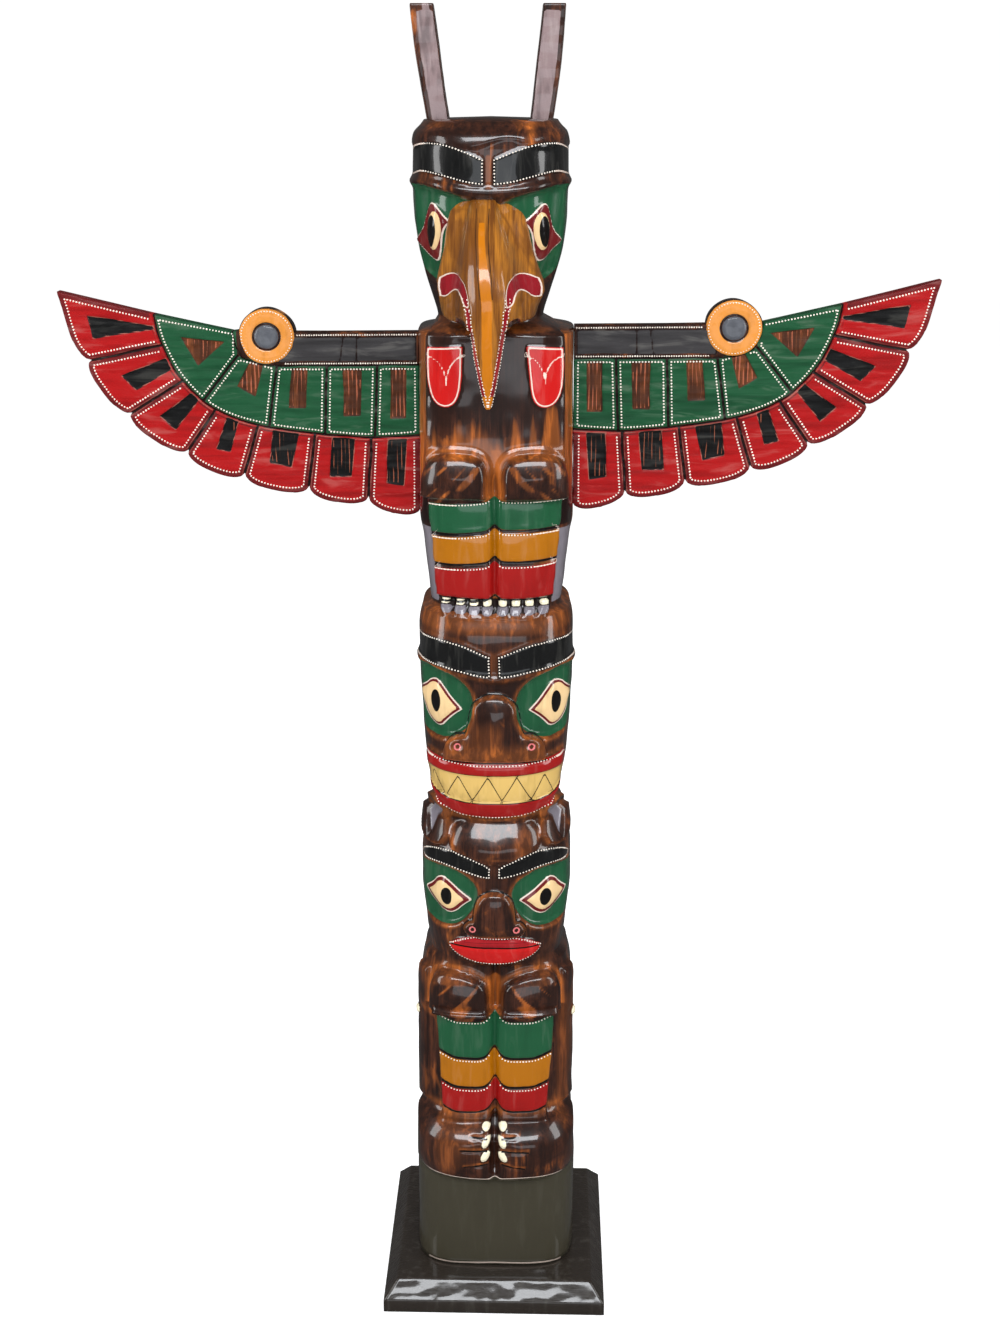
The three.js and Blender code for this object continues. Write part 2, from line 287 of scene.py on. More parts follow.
def buildStainGroup():
    # long streaks of a stained board, with a warm share that brings out the amber under the stain
    group, inp, out = newGroup(
        "stainedWood",
        [("Vector", "NodeSocketVector", None), ("Warm", "NodeSocketFloat", 0.0),
         ("Dark", "NodeSocketColor", None), ("Middle", "NodeSocketColor", None),
         ("Amber", "NodeSocketColor", None)],
        [("Color", "NodeSocketColor"), ("Grain", "NodeSocketFloat")])
    v = inp.outputs["Vector"]
    broad = noiseNode(group, scaled(group, v, 26, 26, 7), 1.0, 3.0, 0.55, 0.4)
    streak = noiseNode(group, scaled(group, v, 150, 150, 9), 1.0, 4.0, 0.6, 0.5)
    fine = noiseNode(group, scaled(group, v, 520, 520, 24), 1.0, 2.0, 0.6)
    grain = mathNode(group, "ADD", mathNode(group, "MULTIPLY", streak, 0.65),
                     mathNode(group, "MULTIPLY", fine, 0.35))
    dark = inp.outputs["Dark"]
    base = mixColour(group, stretch(group, grain, 0.36, 0.66), dark, inp.outputs["Middle"])
    base = mixColour(group, stretch(group, broad, 0.55, 0.36, 0.0, 0.75), base, dark)
    swirl = noiseNode(group, scaled(group, v, 15, 15, 11), 1.0, 4.0, 0.55, 2.2)
    base = mixColour(group, stretch(group, swirl, 0.5, 0.38, 0.0, 0.6), base, dark)
    flame = mathNode(group, "ADD", mathNode(group, "MULTIPLY", stretch(group, streak, 0.46, 0.72), 0.55),
                     mathNode(group, "MULTIPLY", stretch(group, broad, 0.5, 0.72), 0.5))
    flare = mathNode(group, "ADD", flame, 0.25)
    share = mathNode(group, "MULTIPLY", flare, inp.outputs["Warm"], clamp=True)
    cold = mathNode(group, "MULTIPLY", inp.outputs["Warm"], -0.85, clamp=True)
    base = mixColour(group, cold, base, dark)
    glow = mathNode(group, "MULTIPLY", stretch(group, swirl, 0.52, 0.68), 0.62)
    hot = mathNode(group, "MAXIMUM", share, mathNode(group, "MULTIPLY", flame, glow), clamp=True)
    hot = mathNode(group, "SUBTRACT", hot, cold, clamp=True)
    link(group, mixColour(group, hot, base, inp.outputs["Amber"]), out.inputs["Color"])
    link(group, grain, out.inputs["Grain"])
    return group


def buildPaintGroup():
    # one coat of paint over what is beneath, bounded by a field that counts millimetres inside its edge
    group, inp, out = newGroup(
        "paintCoat",
        [("Vector", "NodeSocketVector", None), ("Inside", "NodeSocketFloat", 0.0),
         ("Under", "NodeSocketColor", None),
         ("Paint", "NodeSocketColor", None), ("Streak", "NodeSocketFloat", 0.25),
         ("Edge", "NodeSocketFloat", 0.5), ("Wave", "NodeSocketFloat", 1.0)],
        [("Color", "NodeSocketColor"), ("Mask", "NodeSocketFloat")])
    v = inp.outputs["Vector"]
    hand = noiseNode(group, v, 90.0, 2.0)
    wave = mathNode(group, "MULTIPLY", mathNode(group, "SUBTRACT", hand, 0.5), inp.outputs["Wave"])
    edge = mathNode(group, "ADD", inp.outputs["Inside"], wave)
    mask = stretch(group, edge, mathNode(group, "MULTIPLY", inp.outputs["Edge"], -0.5),
                   mathNode(group, "MULTIPLY", inp.outputs["Edge"], 0.5))
    brush = noiseNode(group, scaled(group, v, 110, 110, 16), 1.0, 3.0, 0.55, 0.6)
    cloud = noiseNode(group, scaled(group, v, 34, 34, 22), 1.0, 2.0, 0.5)
    deep = mixColour(group, 1.0, inp.outputs["Paint"], (0.42, 0.42, 0.42, 1), "MULTIPLY")
    pale = mixColour(group, 0.09, inp.outputs["Paint"], (1, 0.97, 0.85, 1))
    patchy = mathNode(group, "MULTIPLY_ADD", cloud, 0.5, mathNode(group, "MULTIPLY", brush, 0.5))
    dim = mathNode(group, "MULTIPLY", stretch(group, patchy, 0.52, 0.34), inp.outputs["Streak"])
    lit = mathNode(group, "MULTIPLY", stretch(group, brush, 0.52, 0.72), inp.outputs["Streak"])
    coat = mixColour(group, lit, mixColour(group, dim, inp.outputs["Paint"], deep), pale)
    link(group, mixColour(group, mask, inp.outputs["Under"], coat), out.inputs["Color"])
    link(group, mask, out.inputs["Mask"])
    return group


def buildToolGroup():
    # shallow scrape marks of a chisel or a plane, as a height
    group, inp, out = newGroup(
        "toolMarks",
        [("Vector", "NodeSocketVector", None), ("Amount", "NodeSocketFloat", 1.0)],
        [("Height", "NodeSocketFloat")])
    v = inp.outputs["Vector"]
    scrape = noiseNode(group, v, 1.0, 3.0, 0.55, 0.8)
    fine = noiseNode(group, v, 3.7, 2.0, 0.5, 0.2)
    both = mathNode(group, "MULTIPLY_ADD", fine, 0.35, scrape)
    link(group, mathNode(group, "MULTIPLY", both, inp.outputs["Amount"]), out.inputs["Height"])
    return group


stainGroup = buildStainGroup()
paintGroup = buildPaintGroup()
toolGroup = buildToolGroup()

stain = {
    "dark": rgb(34, 19, 15),
    "middle": rgb(80, 43, 28),
    "amber": rgb(206, 112, 42),
}

paints = {
    "ochre": rgb(176, 116, 30),
    "green": rgb(26, 80, 50),
    "yellow": rgb(164, 98, 0),
    "red": rgb(148, 14, 12),
    "vermilion": rgb(188, 18, 16),
    "crimson": rgb(104, 22, 24),
    "black": rgb(17, 17, 17),
    "cream": rgb(228, 194, 142),
    "tooth": rgb(208, 172, 98),
    "bone": rgb(236, 226, 196),
    "line": rgb(226, 206, 192),
    # near black: the pupils' black paint, and also painted shade in the carved grooves and the gap under the
    # beak's cheeks
    "ink": rgb(12, 9, 8),
    "pink": rgb(214, 112, 112),
    "trim": rgb(150, 84, 72),
    # painted shade: near black in grooves and seams, under the wings and between the toes
    "soot": rgb(30, 16, 14),
    "roundel": rgb(212, 136, 56),
    "bright": rgb(190, 110, 2),
    "lip": rgb(156, 20, 28),
    "maroon": rgb(136, 16, 28),
    "pewter": rgb(84, 86, 92),
    # black lightened to dark grey for the wing's arm bar, partly a painted sheen
    "coal": rgb(56, 54, 55),
    "scar": rgb(158, 86, 60),
    "wingRed": rgb(158, 12, 14),
    "wingGreen": rgb(24, 76, 46),
    # grey painted sheen: stands in for the glossy reflection on the log's side flanks, the toe tips and the
    # ear hollows
    "ash": rgb(124, 118, 126),
    # grey-pink painted reflection on the horn faces, which are dark wood
    "paintedHornSheen": rgb(136, 116, 116),
    "umber": rgb(48, 28, 14),
    "olive": rgb(60, 56, 44),
    "plinth": rgb(44, 38, 33),
}
# how streaky each paint is, where it isn't the material's own value
paintStreak = {"paintedHornSheen": 0.8, "ink": 0.1, "cream": 0.3, "tooth": 0.45, "black": 0.25, "olive": 0.08,
               "plinth": 0.2, "bone": 0.1}


def useGroup(tree, group, **values):
    node = tree.nodes.new("ShaderNodeGroup")
    node.node_tree = group
    for key, v in values.items():
        if isinstance(v, (int, float, tuple)):
            node.inputs[key].default_value = v
        else:
            link(tree, v, node.inputs[key])
    return node


def field(tree, name):
    node = tree.nodes.new("ShaderNodeAttribute")
    node.attribute_type = "GEOMETRY"
    node.attribute_name = name
    return node.outputs["Fac"]


def lacquered(name, coats, marks=(60, 60, 12), depth=0.0004, warmField=None, base=None, roughness=0.3,
              coat=0.85, streak=0.25, along=(1, 1, 1), brushed=(1, 1, 1), sheen=0.22):
    # stained wood, the given coats of paint in order, and clear lacquer over all of it
    material = bpy.data.materials.new(name)
    material.use_nodes = True
    tree = material.node_tree
    shader = tree.nodes["Principled BSDF"]
    place3 = tree.nodes.new("ShaderNodeTexCoord").outputs["Object"]
    tones = base or (stain["dark"], stain["middle"], stain["amber"])
    wood = useGroup(tree, stainGroup, Vector=scaled(tree, place3, *along), Dark=tones[0],
                    Middle=tones[1], Amber=tones[2])
    if warmField:
        link(tree, field(tree, warmField), wood.inputs["Warm"])
    colour = wood.outputs["Color"]
    strokes = scaled(tree, place3, *brushed)
    for fieldName, paintName in coats:
        thin = fieldName.endswith("Line")
        # a drawn line is given by the distance to it and by half its width
        within = field(tree, fieldName)
        if thin:
            away = mathNode(tree, "ABSOLUTE", within)
            within = mathNode(tree, "SUBTRACT", field(tree, fieldName[:-4] + "Wide"), away)
        step = useGroup(tree, paintGroup, Vector=strokes, Inside=within, Under=colour,
                        Paint=paints[paintName], Wave=0.25 if thin else 1.0,
                        Streak=0.1 if thin else paintStreak.get(paintName, streak))
        colour = step.outputs["Color"]
    link(tree, colour, shader.inputs["Base Color"])
    marksNode = useGroup(tree, toolGroup, Vector=scaled(tree, place3, *marks), Amount=1.0)
    height = mathNode(tree, "MULTIPLY_ADD", wood.outputs["Grain"], 0.25, marksNode.outputs["Height"])
    bump = tree.nodes.new("ShaderNodeBump")
    bump.inputs["Strength"].default_value = 0.6
    bump.inputs["Distance"].default_value = depth
    link(tree, height, bump.inputs["Height"])
    link(tree, bump.outputs["Normal"], shader.inputs["Normal"])
    shader.inputs["Roughness"].default_value = roughness
    shader.inputs["Coat Weight"].default_value = coat
    shader.inputs["Coat Roughness"].default_value = 0.07
    shader.inputs["Specular IOR Level"].default_value = sheen
    return material


# the log

logShape = {
    "frontReach": 114.0,      # how far round from the front the close columns go
    "frontColumns": 57,
    "backColumns": 22,
    "rowPitch": 2.35,
    "headShift": -6.0,
    "foot": [(35.5, 94, 88, 86, 4.0), (149, 94, 88, 86, 4.0)],
    "bear": [(153, 90, 93, 84, 3.2), (203, 90, 91, 84, 3.2), (230, 88, 70, 82, 3.2), (330, 88, 66, 80, 3.2),
             (388, 89, 66, 80, 3.2), (412, 84, 68, 80, 2.8)],
    "bearHead": [(420, 78, 74, 80, 2.6), (450, 82, 82, 80, 2.6), (500, 87.5, 84, 80, 2.6),
                 (545, 87, 84, 80, 2.6), (562, 83, 82, 80, 2.6), (592, 76, 67, 79, 2.6)],
    "beastHead": [(597, 70, 76, 78, 2.6), (630, 76, 86, 80, 2.6), (660, 81, 88, 82, 2.6),
                  (700, 84, 88, 82, 2.6), (765, 88, 88, 82, 2.6), (812, 88, 88, 82, 2.8),
                  (822, 87, 86, 82, 2.8), (836, 83, 79, 80, 3.0)],
    "eagleBody": [(842, 74, 64, 78, 3.2), (905, 81, 64, 78, 3.2), (922, 83, 64, 78, 3.2),
                  (937, 86, 62, 78, 3.6), (1149, 86, 62, 78, 3.6)],
    "neck": [(1153, 70, 60, 70, 3.0), (1163, 58, 58, 62, 2.8)],
    "eagleHead": [(1166, 58, 60, 60, 2.6), (1205, 70, 74, 72, 2.6), (1240, 79.5, 82, 80, 2.6),
                  (1270, 83.5, 86, 82, 2.6), (1300, 85, 88, 83, 2.6), (1352, 85, 88, 83, 2.6),
                  (1363, 83, 86, 81, 2.6), (1371, 79, 81, 77, 2.6), (1377, 71, 73, 69, 2.6)],
}

# outlines on the log: distance round from the front and height, the same on both sides
eagleFace = {
    "brow": [(5, 1338), (5, 1338), (22, 1346.5), (47, 1355.5), (72, 1356.5), (100, 1352), (132, 1345),
             (148, 1340), (148, 1320), (125, 1318), (100, 1321.5), (75, 1325), (48, 1320.5),
             (24, 1313.5), (5, 1311), (5, 1311)],
    "hollow": [(14, 1293), (24, 1297), (45, 1303.5), (75, 1310), (105, 1311.5), (138, 1306),
               (148, 1290), (142, 1262), (125, 1238), (105, 1222), (86, 1212), (68, 1208), (54, 1212),
               (44, 1224), (34, 1246), (24, 1264), (16, 1280)],
    "rim": [(38, 1272), (38, 1272), (46, 1277), (55, 1285), (64, 1291.5), (72, 1290), (78, 1277),
            (83, 1262), (97, 1250), (97, 1250), (86, 1243), (77, 1234), (66, 1229), (57, 1230),
            (52, 1241), (50, 1256), (46, 1266)],
    "white": [(62.5, 1261.5), (12.5, 21), 8],
    "pupil": [(65, 1261), (8.8, 17.5), 8],
    "seat": [(0, 1293), (26, 1291), (34, 1284), (38, 1270), (41, 1245), (46, 1226), (50, 1208),
             (50, 1190), (43, 1172), (0, 1172)],
    "cheek": [(0, 1280), (28, 1262), (42, 1226), (46, 1200), (44, 1172), (40, 1167), (0, 1167)],
    "leftShift": 7.0,       # the eyes aren't quite level with each other round the log
    "rightShift": 2.0,
    # height, softness of the edge, then crown and its spread
    "relief": {"brow": (1.8, 2.2), "hollow": (-8.5, 7), "rim": (2.2, 2.5), "white": (1.2, 3, 3.5, 9)},
}
chest = {
    "panel": mirrored([(74, 972), (75, 1050), (73, 1168), (66, 1172)]),
    "patch": [(34, 1138), (34, 1138), (70, 1135.5), (70, 1135.5), (71, 1110), (69, 1088), (64, 1076),
              (56, 1070.5), (47, 1071.5), (40, 1079), (36, 1096)],
    "veinOuter": [(69, 1127), (61, 1123), (54, 1114), (51.5, 1102)],
    "veinInner": [(35, 1128), (42, 1124), (48.5, 1114), (51.5, 1102), (51.5, 1096)],
    "knee": [(9, 969), (9, 969), (9, 1002), (16, 1013), (30, 1018), (56, 1018.5), (68, 1011), (74, 994),
             (74, 969), (74, 969)],
}
eagleBands = {
    "tilt": 0.058, "green": (935, 967), "yellow": (900, 930.5), "red": (856.5, 894),
    "low": 856, "sideRise": 112, "sideTop": 72, "sideLow": 63,
}
beastFace = {
    "brow": [(4.5, 794), (4.5, 794), (20, 800.5), (38, 807), (70, 811), (100, 809), (128, 805),
             (148, 800), (148, 778), (125, 777), (95, 780), (66, 779), (40, 775), (20, 771),
             (4.5, 769.5), (4.5, 769.5)],
    "hollow": [(24, 738), (29, 754), (44, 766), (66, 774), (90, 777), (120, 775), (146, 762),
               (152, 738), (142, 714), (112, 698), (78, 693), (54, 695), (34, 705), (25, 720)],
    "rim": [(33, 728), (33, 728), (47, 740), (57, 750), (67, 758), (80, 757), (90, 748), (107, 741),
            (107, 741), (96, 727), (87, 712), (76, 704), (63, 705), (54, 713), (44, 721)],
    "ring": 3.3,
    "pupil": [(69, 733), (8, 13), 0],
    "nose": mirrored([(57, 671), (57, 671), (56, 688), (50, 698), (38, 701.5), (31, 702), (29.5, 722),
                      (24, 737), (14, 747), (0, 751)]),
    "nostril": [(38.5, 690.5), 4.6],
    "mouth": mirrored([(106, 655), (104, 667), (92, 673), (70, 672), (40, 669.5), (0, 668.5)],
                      [(98, 641), (86, 628), (74, 617.5), (58, 608.5), (38, 603), (0, 599.5)]),
    "teeth": mirrored([(99, 650), (97, 658), (75, 658), (40, 656), (0, 655)],
                      [(90, 641), (79, 632), (65, 626), (40, 622), (0, 620.5)]),
    "teethPitch": 32.0,
    "leftShift": 6.0,
    "rightShift": 9.0,
    "relief": {"brow": (1.8, 2.0), "hollow": (-7.5, 7), "rim": (1.8, 2.5), "white": (1.2, 3, 3.0, 9),
               "nose": (7, 3.5, 11, 18), "nostril": (-2, 2.5), "mouth": (6, 4, 2.5, 8), "teeth": (-3.0, 2.2)},
}
bearFace = {
    "brow": [(4.5, 541), (4.5, 541), (14, 548), (28, 555.5), (45, 560), (66, 559), (84, 555),
             (102, 547), (114, 541), (104, 536.5), (88, 538.5), (68, 541), (50, 539.5), (32, 534.5),
             (16, 529.5), (4.5, 528), (4.5, 528)],
    "hollow": [(18, 505), (24, 521), (38, 531), (55, 537), (80, 535), (105, 533), (135, 528),
               (150, 510), (148, 490), (125, 472), (90, 464.5), (62, 463), (42, 468), (27, 484)],
    "rim": [(27, 499), (27, 499), (42, 508), (54, 516.5), (66, 522), (77, 518), (85, 509), (97, 501),
            (97, 501), (86, 489), (72, 481), (57, 478), (46, 483), (37, 492)],
    "ring": 4.6,
    "pupil": [(59, 499.5), (8, 10.5), 0],
    "nose": mirrored([(33, 459), (36, 467), (30, 474), (23.5, 476), (23, 491), (19, 503), (11, 510.5),
                      (0, 513)], [(22, 456)]),
    "nostril": [(24, 467.5), 4.4],
    "mouth": mirrored([(54, 443), (54, 443), (38, 452.5), (20, 457), (0, 457.5)],
                      [(50, 435), (38, 426), (20, 420.5), (0, 419)]),
    "ear": [(54, 566), (51, 598), (58, 611), (78, 618), (102, 611), (112, 590), (104, 570), (80, 560)],
    "earHollow": [(61, 603), (61, 603), (92, 606), (92, 606), (79, 567), (79, 567)],
    "knee": [(8, 353), (8, 353), (8, 385), (18, 396), (44, 405), (64, 404), (74, 390), (75, 353),
             (75, 353)],
    "leftShift": 0.0,
    "rightShift": 3.0,
    "relief": {"brow": (1.8, 2.0), "hollow": (-6.5, 7), "rim": (1.8, 2.5), "white": (1.2, 3, 3.0, 9),
               "nose": (6, 3.5, 8, 14), "nostril": (-1.5, 2.5), "mouth": (4.5, 4, 3, 9), "ear": (9, 4.5),
               "earHollow": (-7, 9)},
}
bearBands = {
    "green": (301, 345), "yellow": (264.5, 297.5), "red": (233, 260.5),
    "low": 228, "sideRise": 112, "sideTop": 67, "sideLow": 60,
}
# from how low to how high each part of the log reaches
zones = {
    "feet": (148, 232), "bearBody": (200, 415), "bearHead": (416, 594), "beastHead": (594, 840),
    "eagleToes": (833, 856), "eagleBody": (838, 1160), "eagleHead": (1164, 1400),
}
toes = {
    "eagle": [8.4, 22.8, 37.6, 53.4],
    "bearNails": [(9.6, 217, 5.0, 3.9, 12), (9.2, 203, 4.3, 6.4, 32), (10, 186.5, 4.5, 6.8, 34)],
}


def sectionPoints(angle, half, front, back, square):
    # a rounded square, flatter as its last value grows
    s, c = np.sin(angle), np.cos(angle)
    p = 2 / square
    x = half * np.sign(s) * np.abs(s) ** p
    y = np.where(c > 0, -front, back) * np.abs(c) ** p
    return x, y


def logRows():
    rows = []
    for key in ("foot", "bear", "bearHead", "beastHead", "eagleBody", "neck", "eagleHead"):
        table = np.array(logShape[key], float)
        pitch = 7.0 if key == "foot" else logShape["rowPitch"]
        count = max(2, int(round((table[-1, 0] - table[0, 0]) / pitch)) + 1)
        z = np.linspace(table[0, 0], table[-1, 0], count)
        fine = np.linspace(table[0, 0] - 20, table[-1, 0] + 20, 1600)
        step = fine[1] - fine[0]
        kernel = np.exp(-0.5 * (np.arange(-60, 61) * step / 5.0) ** 2)
        kernel /= kernel.sum()
        values = []
        for k in range(1, 5):
            line = np.interp(fine, table[:, 0], table[:, k])
            soft = np.convolve(np.pad(line, 60, mode="edge"), kernel, mode="valid")
            values.append(np.interp(z, fine, soft))
        rows.append(np.column_stack([z] + values))
    return np.vstack(rows)


def baseLog():
    rows = logRows()
    front = np.linspace(0, logShape["frontReach"], logShape["frontColumns"])
    angle = np.linspace(0, np.pi, 361)
    points, normals, around = [], [], []
    for z, half, deep, back, square in rows:
        x, y = sectionPoints(angle, half, deep, back, square)
        run = np.concatenate([[0], np.cumsum(np.hypot(np.diff(x), np.diff(y)))])
        rest = np.linspace(logShape["frontReach"], run[-1], logShape["backColumns"] + 1)[1:]
        w = np.concatenate([front, rest])
        px, py = np.interp(w, run, x), np.interp(w, run, y)
        before, after = np.maximum(w - 1.5, 0), np.minimum(w + 1.5, run[-1])
        ax, ay = np.interp(before, run, x), np.interp(before, run, y)
        bx, by = np.interp(after, run, x), np.interp(after, run, y)
        nx, ny = by - ay, -(bx - ax)
        size = np.hypot(nx, ny) + 1e-9
        nx, ny = nx / size, ny / size
        nx[0], ny[0], nx[-1], ny[-1] = 0, -1, 0, 1
        shift = logShape["headShift"] * float(ease((z - 1150) / 14))
        right = np.stack([px + shift, py, np.full(len(w), z)], 1)
        left = np.stack([shift - px[1:-1], py[1:-1], np.full(len(w) - 2, z)], 1)[::-1]
        points.append(np.vstack([right, left]))
        facing = np.stack([nx, ny, nx * 0], 1)
        normals.append(np.vstack([facing, (facing[1:-1] * [-1, 1, 1])[::-1]]))
        around.append(np.concatenate([w, -w[1:-1][::-1]]))
    return np.array(points), np.array(normals), np.array(around), rows


def bandLine(kind, w, level):
    # height of a painted band's edge on the legs
    a = np.abs(w)
    if kind == "eagle":
        sag = 2.0 * np.sin(np.pi * np.clip(a / 70, 0, 1))
        return level + eagleBands["tilt"] * w + 4.0 * np.exp(-(a / 6) ** 2) - sag
    return level + 10.0 * np.exp(-(a / 7.5) ** 2) + 6.0 * ease((a - 40) / 26) + 2 * ease((22 - a) / 18)


def raised(sd, height, soft, crown=0.0, spread=10.0):
    # a step at an outline, with a crown that grows away from its edge
    return height * ease(sd / soft + 0.5) + crown * (1 - np.exp(-np.maximum(sd, 0) / spread))


def handDrift(w, z):
    # how far the carver's hand strays from the drawing
    hand = np.stack([w, z * 0, z], 1)
    return 0.8 * lattice(hand, 38, 3), 0.9 * lattice(hand, 46, 5)


def shifted(w, a, face):
    # the distance round, moved for the eye of each side
    reach = np.where(w < 0, face["leftShift"], face["rightShift"])
    return a - reach * ease((a - 10) / 20)


def faceFields(face, w, a, z):
    e = shifted(w, a, face)
    brow = inside(a, z, rounded(face["brow"]))
    hollow = inside(a, z, rounded(face["hollow"]))
    rim = inside(e, z, rounded(face["rim"], 1))
    white = rim - face["ring"] if "ring" in face else oval(e, z, *face["white"])
    return brow, hollow, rim, white, oval(e, z, *face["pupil"])


def legEdge(bands, z):
    # half the width of the painted legs at a height
    share = np.clip((z - bands["low"]) / bands["sideRise"], 0, 1)
    return bands["sideLow"] + (bands["sideTop"] - bands["sideLow"]) * share


def between(z, zone):
    low, high = zones[zone]
    return (z > low) & (z < high)


def halo(sd, reach=3.0, offset=0.0):
    # strongest at a given distance inside an outline
    return np.exp(-((sd - offset) / reach) ** 2)


class Carving:
    # the surface of the log while it is carved and painted
    def __init__(self, points, around):
        w, z = around.reshape(-1), points.reshape(-1, 3)[:, 2]
        driftW, driftZ = handDrift(w, z)
        self.w, self.z = w + driftW, z + driftZ
        self.a = np.abs(self.w)
        self.fade = ease((104 - self.a) / 26)     # the carving dies away round the sides of the log
        self.rise = np.zeros(len(w))
        self.warm = np.zeros(len(w))
        self.none = np.full(len(w), -9.0)
        coats = "ochre green yellow red vermilion lip crimson black soot cream tooth bone ink ash olive"
        self.paint = {name: self.none.copy() for name in coats.split()}
        self.lines = {name: (self.none.copy(), self.none.copy()) for name in ("edge", "groove", "pink")}

    def coat(self, name, sd):
        self.paint[name] = np.maximum(self.paint[name], sd)

    def drawn(self, name, sd, half):
        # keeps the nearest of the lines that lie round a point
        line, width = self.lines[name]
        closer = np.abs(sd) < np.abs(line)
        self.lines[name] = (np.where(closer, sd, line), np.where(closer, half, width))

    def fields(self):
        result = dict(self.paint)
        for name, (line, width) in self.lines.items():
            result[name + "Line"], result[name + "Wide"] = line, width
        result["warm"] = np.clip(self.warm, -1, 1)
        return result


def carveEagleHead(log):
    # eagle's head
    w, a, z = log.w, log.a, log.z
    f, r = eagleFace, eagleFace["relief"]
    brow, hollow, rim, white, pupil = faceFields(f, w, a, z)
    head = between(z, "eagleHead")
    log.rise += (raised(brow, *r["brow"]) + raised(hollow, *r["hollow"])) * log.fade
    log.rise += raised(rim, *r["rim"]) + raised(white, *r["white"])
    underBrow = 4.0 * np.exp(-((z - 1304 - 8 * ease(a / 80)) / 5.5) ** 2) * ease((150 - a) / 20)
    log.rise += np.where(head & (z < 1330), underBrow, 0)
    capEdge = 2.0 * ease((1372 - z) / 8) * ease((z - 1352 - 5 * np.sin(w / 13.0)) / 5)
    log.rise += np.where(head, capEdge, 0)
    log.coat("green", hollow)
    log.coat("black", brow)
    log.coat("crimson", rim)
    log.coat("cream", white)
    log.coat("ink", pupil)
    log.drawn("edge", rim, 0.75)
    log.drawn("edge", np.where(head & (a > 74), brow - 1.2, -9), 0.8)
    cheek = inside(a, z, rounded(f["cheek"]))
    log.coat("ochre", np.where(head, cheek, -9))
    seat = ease(inside(np.abs(w + 6.5 * ease((z - 1180) / 90)), z, f["seat"]) / 4 + 0.5) * head
    log.rise = log.rise * (1 - seat) - 11 * seat
    betweenBrows = 0.9 * ease((4 - a) / 3) * (z > 1308) * (z < 1342)
    log.warm += np.where(head, betweenBrows + 0.15 * (z > 1372) + 0.3 * (a > 128), 0)
    log.warm += np.where(z > 1352, 0.9 * ease(1 - np.abs(w - 44) / 9), 0)


def carveChest(log):
    # chest and eagle's legs
    w, a, z = log.w, log.a, log.z
    c = chest
    body = between(z, "eagleBody")
    panel = inside(w, z, c["panel"])
    legSide = legEdge(eagleBands, z)
    legs = np.minimum(legSide - a, np.minimum(z - 855, 972 - z))
    patch = inside(a, z, rounded(c["patch"], 1))
    knee = inside(a, z, rounded(c["knee"]))
    log.rise += np.where(body, raised(panel, 8, 2.5) * ease((1161 - z) / 8), 0)
    log.rise += raised(patch, 2.4, 2.0)
    log.rise += np.where(z < 1040, raised(knee, 11, 6, 11, 18), 0)
    cleft = 8 * np.exp(-(a / 4.0) ** 2) * ease((1004 - z) / 20)
    log.rise += np.where(body, raised(legs, 9.5, 3.5, 2, 10) - cleft, 0)
    arch = halo(knee, 3.0, -5.0) * (z > 970) * (z < 1045)
    log.rise += 3.0 * arch
    log.warm += 0.95 * arch
    for name in ("green", "yellow", "red"):
        low, high = eagleBands[name]
        bottom, top = bandLine("eagle", w, low), bandLine("eagle", w, high)
        here = (z > 838) & (z < 985)
        log.coat(name, np.where(here, np.minimum(np.minimum(z - bottom, top - z), legSide - a), -9))
        log.drawn("edge", np.where(here & (a < legSide) & (a > 40), z - top + 1.4, -9), 0.55)
        log.drawn("groove", np.where(here & (a < legSide + 1), z - bottom + 1.8, -9), 1.2)
        log.rise -= np.where(here & (a < legSide + 3), 1.8 * np.exp(-((z - bottom + 1.8) / 1.5) ** 2), 0)
    log.drawn("edge", np.where((z > 856) & (z < 960), a - legSide + 0.4, -9), 0.5)
    log.coat("vermilion", patch)
    log.drawn("edge", patch - 1.8, 0.7)
    veins = np.minimum(*(nearLine(a, z, rounded(c[key], 2, False)) for key in ("veinOuter", "veinInner")))
    log.drawn("edge", np.where(veins < 3, veins, 9), 0.75)
    tailSide = np.minimum(np.minimum(a - legSide - 4, 128 - a), np.minimum(932 - z, z - 846))
    underWing = np.minimum(np.minimum(a - 74, 100 - a), np.minimum(964 - z, z - 936))
    # painted sheen: grey over the log's flanks beside the legs, in place of their glossy reflection
    log.coat("ash", np.where(body & (z < 934), tailSide, -9))
    # painted shade: a dark band on the log under the wing roots
    log.coat("soot", np.where(body, underWing, -9))


def carveToes(log):
    # eagle's toes on the beast's forehead
    a, z = log.a, log.z
    legSide = legEdge(eagleBands, z)
    inToes = between(z, "eagleToes")
    # painted shade: dark ground between and around the toes
    log.coat("soot", np.where(inToes, np.minimum(legSide + 2 - a, np.minimum(z - 839, 855 - z)), -9))
    for at in toes["eagle"]:
        dw = a - at
        here = inToes & (np.abs(dw) < 8)
        spread = 5.0 + 0.22 * np.clip(848 - z, 0, 10)
        toe = 8.5 * ease((spread + 0.8 - np.abs(dw)) / 2.4)
        log.rise += np.where(here, toe * ease((854.5 - z) / 2.5) * ease((z - 835) / 5), 0)
        log.coat("bone", np.where(here, np.minimum(4.6 - np.abs(dw), np.minimum(853.3 - z, z - 847.6)), -9))
        # painted highlight: pale grey on the toe tips below the nails
        log.coat("ash", np.where(here, np.minimum(spread - np.abs(dw), np.minimum(846.4 - z, z - 838)), -9))
    spike = np.minimum(2.6 * ease((z - 838) / 8) - a, np.minimum(862 - z, z - 840))
    log.rise += np.where(z < 870, raised(np.where(inToes, spike, -9), 6, 2), 0)
    log.warm += 0.8 * (spike > -1)


